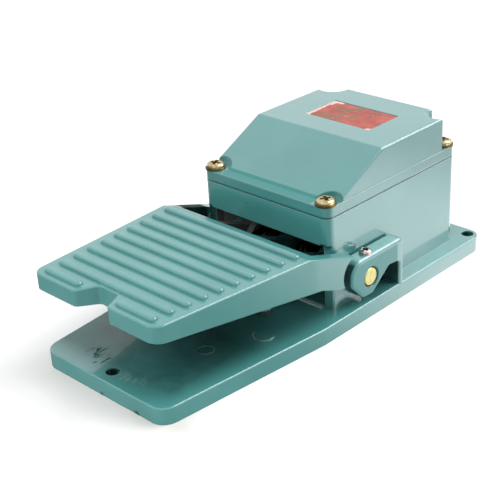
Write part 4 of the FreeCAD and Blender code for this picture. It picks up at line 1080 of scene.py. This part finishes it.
        # Painted shade in the four screw pockets.
        pockets = []
        for middle in (mm(38.7, 0.45, 74.0), mm(38.7, 99.55, 74.0)):
            pocket = Patch(middle - self.pocket_half, middle + self.pocket_half,
                           self.pocket_shade, cover=0.85, roughness=0.4, coat=0.45,
                           blur=0.3 * MM, radius=self.pocket_radius)
            pockets += [pocket, pocket.mirrored()]
        return (step, *pockets)

    def build(self, frame: dict) -> None:
        """Dress the castings.

        Args:
            frame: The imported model.
        """
        materials = {
            "base_housing": self.enamel.build("teal_enamel_base", self.base_marks(),
                                              self.base_patches()),
            "top_cover": self.cover_enamel.build("teal_enamel_cover",
                                                 patches=self.cover_patches()),
            "pedal": self.treadle_enamel.build("teal_enamel_treadle",
                                               patches=self.treadle_patches())}
        for name, material in materials.items():
            dress(frame["nodes"][name], material)
            LOG.info("casting %s", name)


class Side(Enum):
    """Side of the treadle, as the sign of its X."""

    RIGHT = 1.0
    LEFT = -1.0


@dataclass
class Springs:
    """The two torsion springs round the shaft and the small spring over the contact carrier."""

    torsion: Wire = Wire(2.2 * MM, 7.6 * MM, 3.1 * MM, 3.5)
    base_leg: Vector = field(default_factory=lambda: mm(0.0, -14.0, -5.35))
    treadle_leg: Vector = field(default_factory=lambda: mm(0.0, -39.65, -1.2))
    carrier_wire: float = 0.6 * MM
    carrier_radius: float = 2.8 * MM
    carrier_turns: float = 4.0
    steel: Plated = Plated(srgb(66, 60, 57), srgb(30, 28, 27), 0.36, 0.8)

    def torsion_spring(self, side: Side, pivot: Vector, material: bpy.types.Material) -> None:
        """Wind one torsion spring, with its base leg at the first turn and its treadle leg at
        the last.

        Args:
            side: Side of the treadle.
            pivot: A point on the shaft's axis.
            material: Finish of the wire.
        """
        name = side.name.lower()
        low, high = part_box("return_spring_" + name)
        inner = low.x if side is Side.RIGHT else high.x
        centre = Vector((inner + side.value * self.torsion.diameter / 2, pivot.y, pivot.z))
        start = centre - Vector((0.0, 0.0, self.torsion.radius))
        mesh = bmesh.new()
        first, last = self.torsion.wind(mesh, start, centre, Vector((1.0, 0.0, 0.0)))
        if side is Side.LEFT:
            bmesh.ops.scale(mesh, vec=(-1.0, 1.0, 1.0), verts=mesh.verts,
                            space=Matrix.Translation(-centre))
        self.torsion.leg(mesh, first, self.base_leg)
        self.torsion.leg(mesh, last, self.treadle_leg)
        piece = piece_from(mesh, "torsion_spring_" + name, material)
        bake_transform(piece)
        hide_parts("return_spring_" + name)

    def carrier_spring(self, material: bpy.types.Material) -> None:
        """Wind the small compression spring in the imported spring's place.

        Args:
            material: Finish of the wire.
        """
        low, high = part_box("carrier_spring")
        foot = low.z + self.carrier_wire / 2
        free = high.z - self.carrier_wire / 2 - foot
        wire = Wire(self.carrier_wire, self.carrier_radius, free / self.carrier_turns,
                    self.carrier_turns, sides=10, steps_per_turn=28)
        centre = Vector(((low.x + high.x) / 2, (low.y + high.y) / 2, foot))
        start = centre + Vector((wire.radius, 0.0, 0.0))
        mesh = bmesh.new()
        for rim in wire.wind(mesh, start, centre, Vector((0.0, 0.0, 1.0))):
            bmesh.ops.edgeloop_fill(mesh, edges=rim)
        piece = piece_from(mesh, "contact_spring", material)
        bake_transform(piece)
        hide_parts("carrier_spring")

    def build(self) -> None:
        """Wind every spring."""
        material = self.steel.build("oiled_wire")
        low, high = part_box("pivot_shaft")
        for side in Side:
            self.torsion_spring(side, (low + high) / 2, material)
        self.carrier_spring(material)


@dataclass(frozen=True)
class ScrewSet:
    """Like screws on the base, in one or two rows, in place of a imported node."""

    piece: str
    node: str
    slot: str
    screw: CrossScrew
    rows: int
    head_name: str
    head: Plated
    # Darker colour for the cross recess: painted shade.
    recess_shade_name: str
    recess: Plated

    def spots(self) -> list[Vector]:
        """Find the places of the heads.

        Returns:
            A place on the left and on the right in each row.
        """
        low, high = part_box(self.node)
        half = self.screw.head / 2
        rows = (low.y + half, high.y - half) if self.rows == 2 else ((low.y + high.y) / 2,)
        return [Vector((side * (high.x - half), along, high.z - self.screw.rise))
                for side in (-1.0, 1.0) for along in rows]

    def build(self) -> None:
        """Make the screws."""
        materials = (self.head.build(self.head_name), self.recess.build(self.recess_shade_name))
        piece = self.screw.build(self.piece, self.spots(), *materials)
        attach(piece, "base")
        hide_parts(self.node)


@dataclass
class Screws:
    """Cover screws and shaft screws with modelled heads."""

    cover: ScrewSet = ScrewSet(
        piece="cover_screw_set", node="cover_screws", slot="brass_plated", rows=2,
        screw=CrossScrew(head=9.6 * MM, rise=2.4 * MM, thread=5.0 * MM, length=17.3 * MM,
                         cross=1.9 * MM, pitch=0.8 * MM),
        head_name="yellow_plate_heads",
        head=Plated(srgb(226, 206, 160), srgb(88, 70, 42), 0.16, 0.8, FINE_TARNISH),
        # The recess colour is painted shade.
        recess_shade_name="yellow_plate_recess_shade",
        recess=Plated(srgb(116, 92, 52), srgb(52, 42, 26), 0.35, 0.8))
    shaft: ScrewSet = ScrewSet(
        piece="shaft_screw_set", node="shaft_screws", slot="zinc_plated", rows=1,
        screw=CrossScrew(head=6.6 * MM, rise=2.2 * MM, thread=4.0 * MM, length=7.5 * MM,
                         cross=1.4 * MM, pitch=0.7 * MM),
        head_name="zinc_heads",
        head=Plated(srgb(206, 196, 192), srgb(84, 70, 68), 0.16, 0.8, FINE_TARNISH),
        # The recess colour is painted shade.
        recess_shade_name="zinc_recess_shade",
        recess=Plated(srgb(104, 70, 66), srgb(46, 34, 32), 0.35, 0.8))

    def build(self) -> None:
        """Make both sets."""
        self.cover.build()
        self.shaft.build()


@dataclass
class Label:
    """Thin plate in the cover's recess with a faded red film that is torn along one end."""

    film: float = 0.12 * MM
    cells_across: int = 88
    cells_along: int = 52
    tear: float = 3.6 * MM
    corner_tear: float = 5.5 * MM
    rear_tear: float = 10.0 * MM
    ripple: float = 260.0
    fine_ripple: float = 3.0
    fine_share: float = 0.5
    tear_mean: float = 0.55
    tear_wander: float = 0.6
    corner_mean: float = 0.7
    corner_wander: float = 0.5
    smoothings: int = 2
    smoothing: float = 0.5
    ground: Moulded = Moulded(srgb(228, 186, 176), srgb(190, 172, 166), 0.5)
    lacquer: FadedLacquer = field(default_factory=FadedLacquer)

    def torn(self, place: Vector, low: Vector, high: Vector) -> bool:
        """Say whether the film is missing at a place.

        Args:
            place: A point of the film.
            low: Lowest corner of the plate.
            high: Highest corner of the plate.

        Returns:
            True where the film has come off.
        """
        coarse = noise.noise(place * self.ripple)
        fine = noise.noise(place * self.ripple * self.fine_ripple)
        wander = coarse + self.fine_share * fine
        edge = low.x + self.tear * (self.tear_mean + self.tear_wander * wander)
        front = (high.x - place.x) + (place.y - low.y)
        rear = (place.x - low.x) + (high.y - place.y)
        ragged = self.corner_mean + self.corner_wander * wander
        at_corner = front < self.corner_tear * ragged or rear < self.rear_tear * ragged
        return place.x < edge or at_corner

    def build(self, frame: dict) -> None:
        """Make the plate's film and dress the plate.

        Args:
            frame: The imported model.
        """
        dress(frame["nodes"]["label_plate"], self.ground.build("label_ground"))
        low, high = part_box("label_plate")
        middle = Vector(((low.x + high.x) / 2, (low.y + high.y) / 2, high.z))
        half = (high - low) / 2
        size = Matrix.Diagonal((half.x - self.film, half.y - self.film, 1.0, 1.0))
        mesh = bmesh.new()
        bmesh.ops.create_grid(mesh, x_segments=self.cells_across, y_segments=self.cells_along,
                              size=1.0, matrix=Matrix.Translation(middle) @ size)
        gone = [face for face in mesh.faces if self.torn(face.calc_center_median(), low, high)]
        bmesh.ops.delete(mesh, geom=gone, context="FACES")
        rim = [vert for vert in mesh.verts if vert.is_boundary]
        for _ in range(self.smoothings):
            bmesh.ops.smooth_vert(mesh, verts=rim, factor=self.smoothing, use_axis_x=True,
                                  use_axis_y=True)
        bmesh.ops.solidify(mesh, geom=mesh.faces, thickness=-self.film)
        piece = piece_from(mesh, "label_film", self.lacquer.build("faded_film"))
        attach(piece, "base")


@dataclass
class Fittings:
    """Washers, shaft, rubbers, contacts and gland."""

    finishes: dict[str, Plated | Moulded | Enamel] = field(default_factory=lambda: {
        "yellow_plate": Plated(srgb(112, 98, 66), srgb(58, 52, 38), 0.35),
        # The shaft's middle, inside the housing, takes painted shade.
        "bright_brass": Plated(srgb(206, 198, 138), srgb(180, 162, 98), 0.4, 0.35,
                               shade_half_length=50.0 * MM),
        "brass": Plated(srgb(214, 184, 110), srgb(150, 120, 70), 0.3),
        "zinc": Plated(srgb(205, 200, 196), srgb(130, 122, 118), 0.22),
        "bronze": Plated(srgb(70, 54, 38), srgb(36, 30, 24), 0.45),
        "silver": Plated(srgb(228, 226, 220), srgb(180, 176, 168), 0.25),
        "black_rubber": Moulded(srgb(14, 21, 22), srgb(24, 33, 34), 0.7),
        "gasket_rubber": Enamel(srgb(20, 70, 70), srgb(28, 80, 80), srgb(12, 50, 50)),
        "black_plastic": Moulded(srgb(30, 31, 33), srgb(46, 48, 50), 0.42),
        "cream_plastic": Moulded(srgb(206, 196, 166), srgb(188, 178, 150), 0.45),
        "nylon": Moulded(srgb(222, 220, 206), srgb(200, 196, 180), 0.4),
    })
    uses: dict[str, tuple[str, ...]] = field(default_factory=lambda: {
        "yellow_plate": ("cover_washers", "earth_screw"),
        "bright_brass": ("pivot_shaft",),
        "brass": ("plunger_guide", "contact_terminals", "earth_washer"),
        "zinc": ("terminal_screws", "block_screws", "plunger"),
        "bronze": ("hub_bushes",),
        "silver": ("contact_bridges",),
        "gasket_rubber": ("cover_gasket",),
        "black_rubber": ("down_stops", "rest_stops", "plunger_seal", "gland_seal"),
        "black_plastic": ("contact_block", "gland_body", "gland_nut", "gland_locknut"),
        "cream_plastic": ("contact_carrier", "block_lid"),
        "nylon": ("thrust_washers",),
    })

    def build(self, frame: dict) -> None:
        """Dress every fitting.

        Args:
            frame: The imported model.
        """
        for finish, names in self.uses.items():
            material = self.finishes[finish].build(finish)
            for name in names:
                dress(frame["nodes"][name], material)
                LOG.info("fitting %s in %s", name, finish)


@dataclass(frozen=True)
class Lamp:
    """Square soft lamp, which glossy surfaces show only where it is mirrored."""

    name: str
    place: Triple
    size: float
    power: float
    mirrored: bool = False

    def hang(self, aim: Vector) -> None:
        """Hang the lamp.

        Args:
            aim: Point that it faces.
        """
        data = bpy.data.lights.new(self.name, "AREA")
        data.shape = "SQUARE"
        data.size = self.size
        data.energy = self.power
        lamp = put(self.name, data)
        lamp.visible_glossy = self.mirrored
        lamp.location = self.place
        lamp.rotation_euler = (aim - Vector(self.place)).to_track_quat("-Z", "Y").to_euler()


@dataclass(frozen=True)
class FloorPaint:
    """Pale floor that shows white to the camera, keeps the object's shadow, adds a painted
    shadow in front of the base and lights it softly.

    The reaches run along Y, because what the floor shows in the enamel differs from front to
    rear.
    """

    colour: Colour = (0.92, 0.92, 0.92)
    # Painted shadow on the floor in front of the base, deepening the real shadow there.
    painted_floor_shadow: Colour = (0.66, 0.63, 0.6)
    painted_shadow_low: Triple = (-0.045, -0.127, -1.0)
    painted_shadow_high: Triple = (0.06, -0.1, 1.0)
    painted_shadow_blur: float = 0.012
    roughness: float = 0.6
    glow: float = 1.6
    glow_share: float = 0.03
    shadow_reach: float = 0.9
    shadow_blur: float = 0.6
    mirror_reach: Pair = (-0.045, 0.085)
    mirror_glow: Pair = (0.22, 1.9)
    fade_reach: Pair = (0.15, 0.23)
    fade_share: float = 0.6
    bounce_reach: Pair = (-0.02, -0.14)
    bounce_glow: Pair = (1.3, 2.1)
    bounce_share: float = 0.5

    def glow_level(self, graph: Graph) -> tuple[Socket, Socket]:
        """Work out how the floor glows for each kind of ray.

        Args:
            graph: The material's nodes.

        Returns:
            Strength of the glow, and its share of the surface.
        """
        paths = graph.tree.nodes.new("ShaderNodeLightPath").outputs
        mirrored = graph.ramp(graph.axis("Y"), *self.mirror_reach, Ease.SOFT)
        mirrored = graph.span(mirrored, *self.mirror_glow)
        fading = graph.span(graph.ramp(graph.axis("Y"), *self.fade_reach), 1.0, self.fade_share)
        mirrored = graph.times(mirrored, fading)
        catching = graph.near(Vector((0.0, 0.0, 0.0)), self.shadow_reach, self.shadow_blur)
        clear = graph.span(catching, 1.0, self.glow_share)
        bounce = graph.span(graph.ramp(graph.axis("Y"), *self.bounce_reach), *self.bounce_glow)
        ways = (("Is Camera Ray", self.glow, clear),
                ("Is Glossy Ray", mirrored, 1.0),
                ("Is Diffuse Ray", bounce, self.bounce_share),
                ("Is Transmission Ray", self.glow, clear))
        level = share = None
        for way, strength, part in ways:
            lit = graph.times(paths[way], strength)
            taken = graph.times(paths[way], part)
            level = lit if level is None else graph.larger(level, lit)
            share = taken if share is None else graph.larger(share, taken)
        return level, share

    def build(self, name: str) -> bpy.types.Material:
        """Make the material.

        Args:
            name: Name of the material.

        Returns:
            The material.
        """
        graph = Graph(name)
        # Painted shadow: darker floor colour in a box in front of the base.
        painted_floor_shadow = graph.inside(Vector(self.painted_shadow_low), Vector(self.painted_shadow_high),
                              self.painted_shadow_blur)
        graph.feed("Base Color", graph.blend(painted_floor_shadow, self.colour, self.painted_floor_shadow))
        graph.feed("Roughness", self.roughness)
        level, share = self.glow_level(graph)
        glow = graph.tree.nodes.new("ShaderNodeEmission")
        glow.inputs["Color"].default_value = (*WHITE, 1.0)
        graph.link(level, glow.inputs["Strength"])
        mixer = graph.tree.nodes.new("ShaderNodeMixShader")
        graph.link(share, mixer.inputs["Fac"])
        graph.link(graph.shader.outputs["BSDF"], mixer.inputs[1])
        graph.link(glow.outputs["Emission"], mixer.inputs[2])
        surface = graph.tree.nodes["Material Output"].inputs["Surface"]
        graph.link(mixer.outputs["Shader"], surface)
        return graph.material


@dataclass
class Studio:
    """Pale floor, soft lamps, a white room and the camera."""

    azimuth: float = 45.25
    elevation: float = 26.66
    roll: float = -3.27
    distance: float = 0.5063
    target: Vector = field(default_factory=lambda: Vector((0.0575, -0.0725, 0.0761)))
    focal_pixels: float = 1150.4
    image_pixels: float = 500.0
    sensor: float = 36.0
    nearest: float = 0.01
    floor_size: float = 6.0
    paint: FloorPaint = FloorPaint()
    room: float = 1.0
    sky: float = 0.36
    aim: Vector = field(default_factory=lambda: Vector((0.0, 0.0, 0.03)))
    lamps: tuple[Lamp, ...] = (
        Lamp("key", (0.7, 1.0, 1.25), 1.3, 28.0, mirrored=True),
        Lamp("top", (0.0, -0.25, 1.5), 1.4, 5.0),
        Lamp("front", (0.0, -0.9, 0.9), 0.7, 9.0))

    def camera(self) -> None:
        """Place the camera where the photograph was taken from."""
        angles = (self.azimuth, self.elevation, self.roll)
        turn, tilt, roll = (math.radians(angle) for angle in angles)
        ahead = Vector((-math.sin(turn) * math.cos(tilt), math.cos(turn) * math.cos(tilt),
                        -math.sin(tilt)))
        right = ahead.cross(Vector((0, 0, 1))).normalized()
        above = right.cross(ahead)
        right_rolled = right * math.cos(roll) + above * math.sin(roll)
        above_rolled = above * math.cos(roll) - right * math.sin(roll)
        data = bpy.data.cameras.new("camera")
        data.sensor_width = self.sensor
        data.lens = self.focal_pixels / self.image_pixels * self.sensor
        data.clip_start = self.nearest
        camera = put("camera", data)
        turned = Matrix((right_rolled, above_rolled, -ahead)).transposed().to_4x4()
        camera.matrix_world = Matrix.Translation(self.target - ahead * self.distance) @ turned
        bpy.context.scene.camera = camera

    def floor(self) -> None:
        """Lay the floor."""
        mesh = bmesh.new()
        bmesh.ops.create_grid(mesh, x_segments=1, y_segments=1, size=self.floor_size / 2)
        data = bpy.data.meshes.new("floor")
        mesh.to_mesh(data)
        mesh.free()
        data.materials.append(self.paint.build("pale_floor"))
        put("floor", data)

    def world(self) -> None:
        """Surround the object with a white room that is dimmer for the light it gives."""
        world = bpy.data.worlds.new("studio")
        bpy.context.scene.world = world
        world.use_nodes = True
        tree = world.node_tree
        backdrop = tree.nodes["Background"]
        soft = tree.nodes.new("ShaderNodeBackground")
        for node, strength in ((backdrop, self.room), (soft, self.sky)):
            node.inputs["Color"].default_value = (*WHITE, 1.0)
            node.inputs["Strength"].default_value = strength
        paths = tree.nodes.new("ShaderNodeLightPath").outputs
        seen = tree.nodes.new("ShaderNodeMath")
        seen.operation = Merge.LARGER.value
        tree.links.new(paths["Is Camera Ray"], seen.inputs[0])
        tree.links.new(paths["Is Glossy Ray"], seen.inputs[1])
        mixer = tree.nodes.new("ShaderNodeMixShader")
        tree.links.new(seen.outputs["Value"], mixer.inputs["Fac"])
        tree.links.new(soft.outputs["Background"], mixer.inputs[1])
        tree.links.new(backdrop.outputs["Background"], mixer.inputs[2])
        tree.links.new(mixer.outputs["Shader"], tree.nodes["World Output"].inputs["Surface"])

    def build(self) -> None:
        """Set up the whole studio."""
        self.camera()
        self.floor()
        self.world()
        for lamp in self.lamps:
            lamp.hang(self.aim)
        bpy.context.scene.view_settings.view_transform = "Standard"


def main() -> None:
    """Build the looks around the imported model."""
    logging.basicConfig(level=logging.INFO, format="%(name)s: %(message)s")
    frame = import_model()
    Castings().build(frame)
    Fittings().build(frame)
    Screws().build()
    Springs().build()
    Label().build(frame)
    Studio().build()


if __name__ == "__main__":
    main()
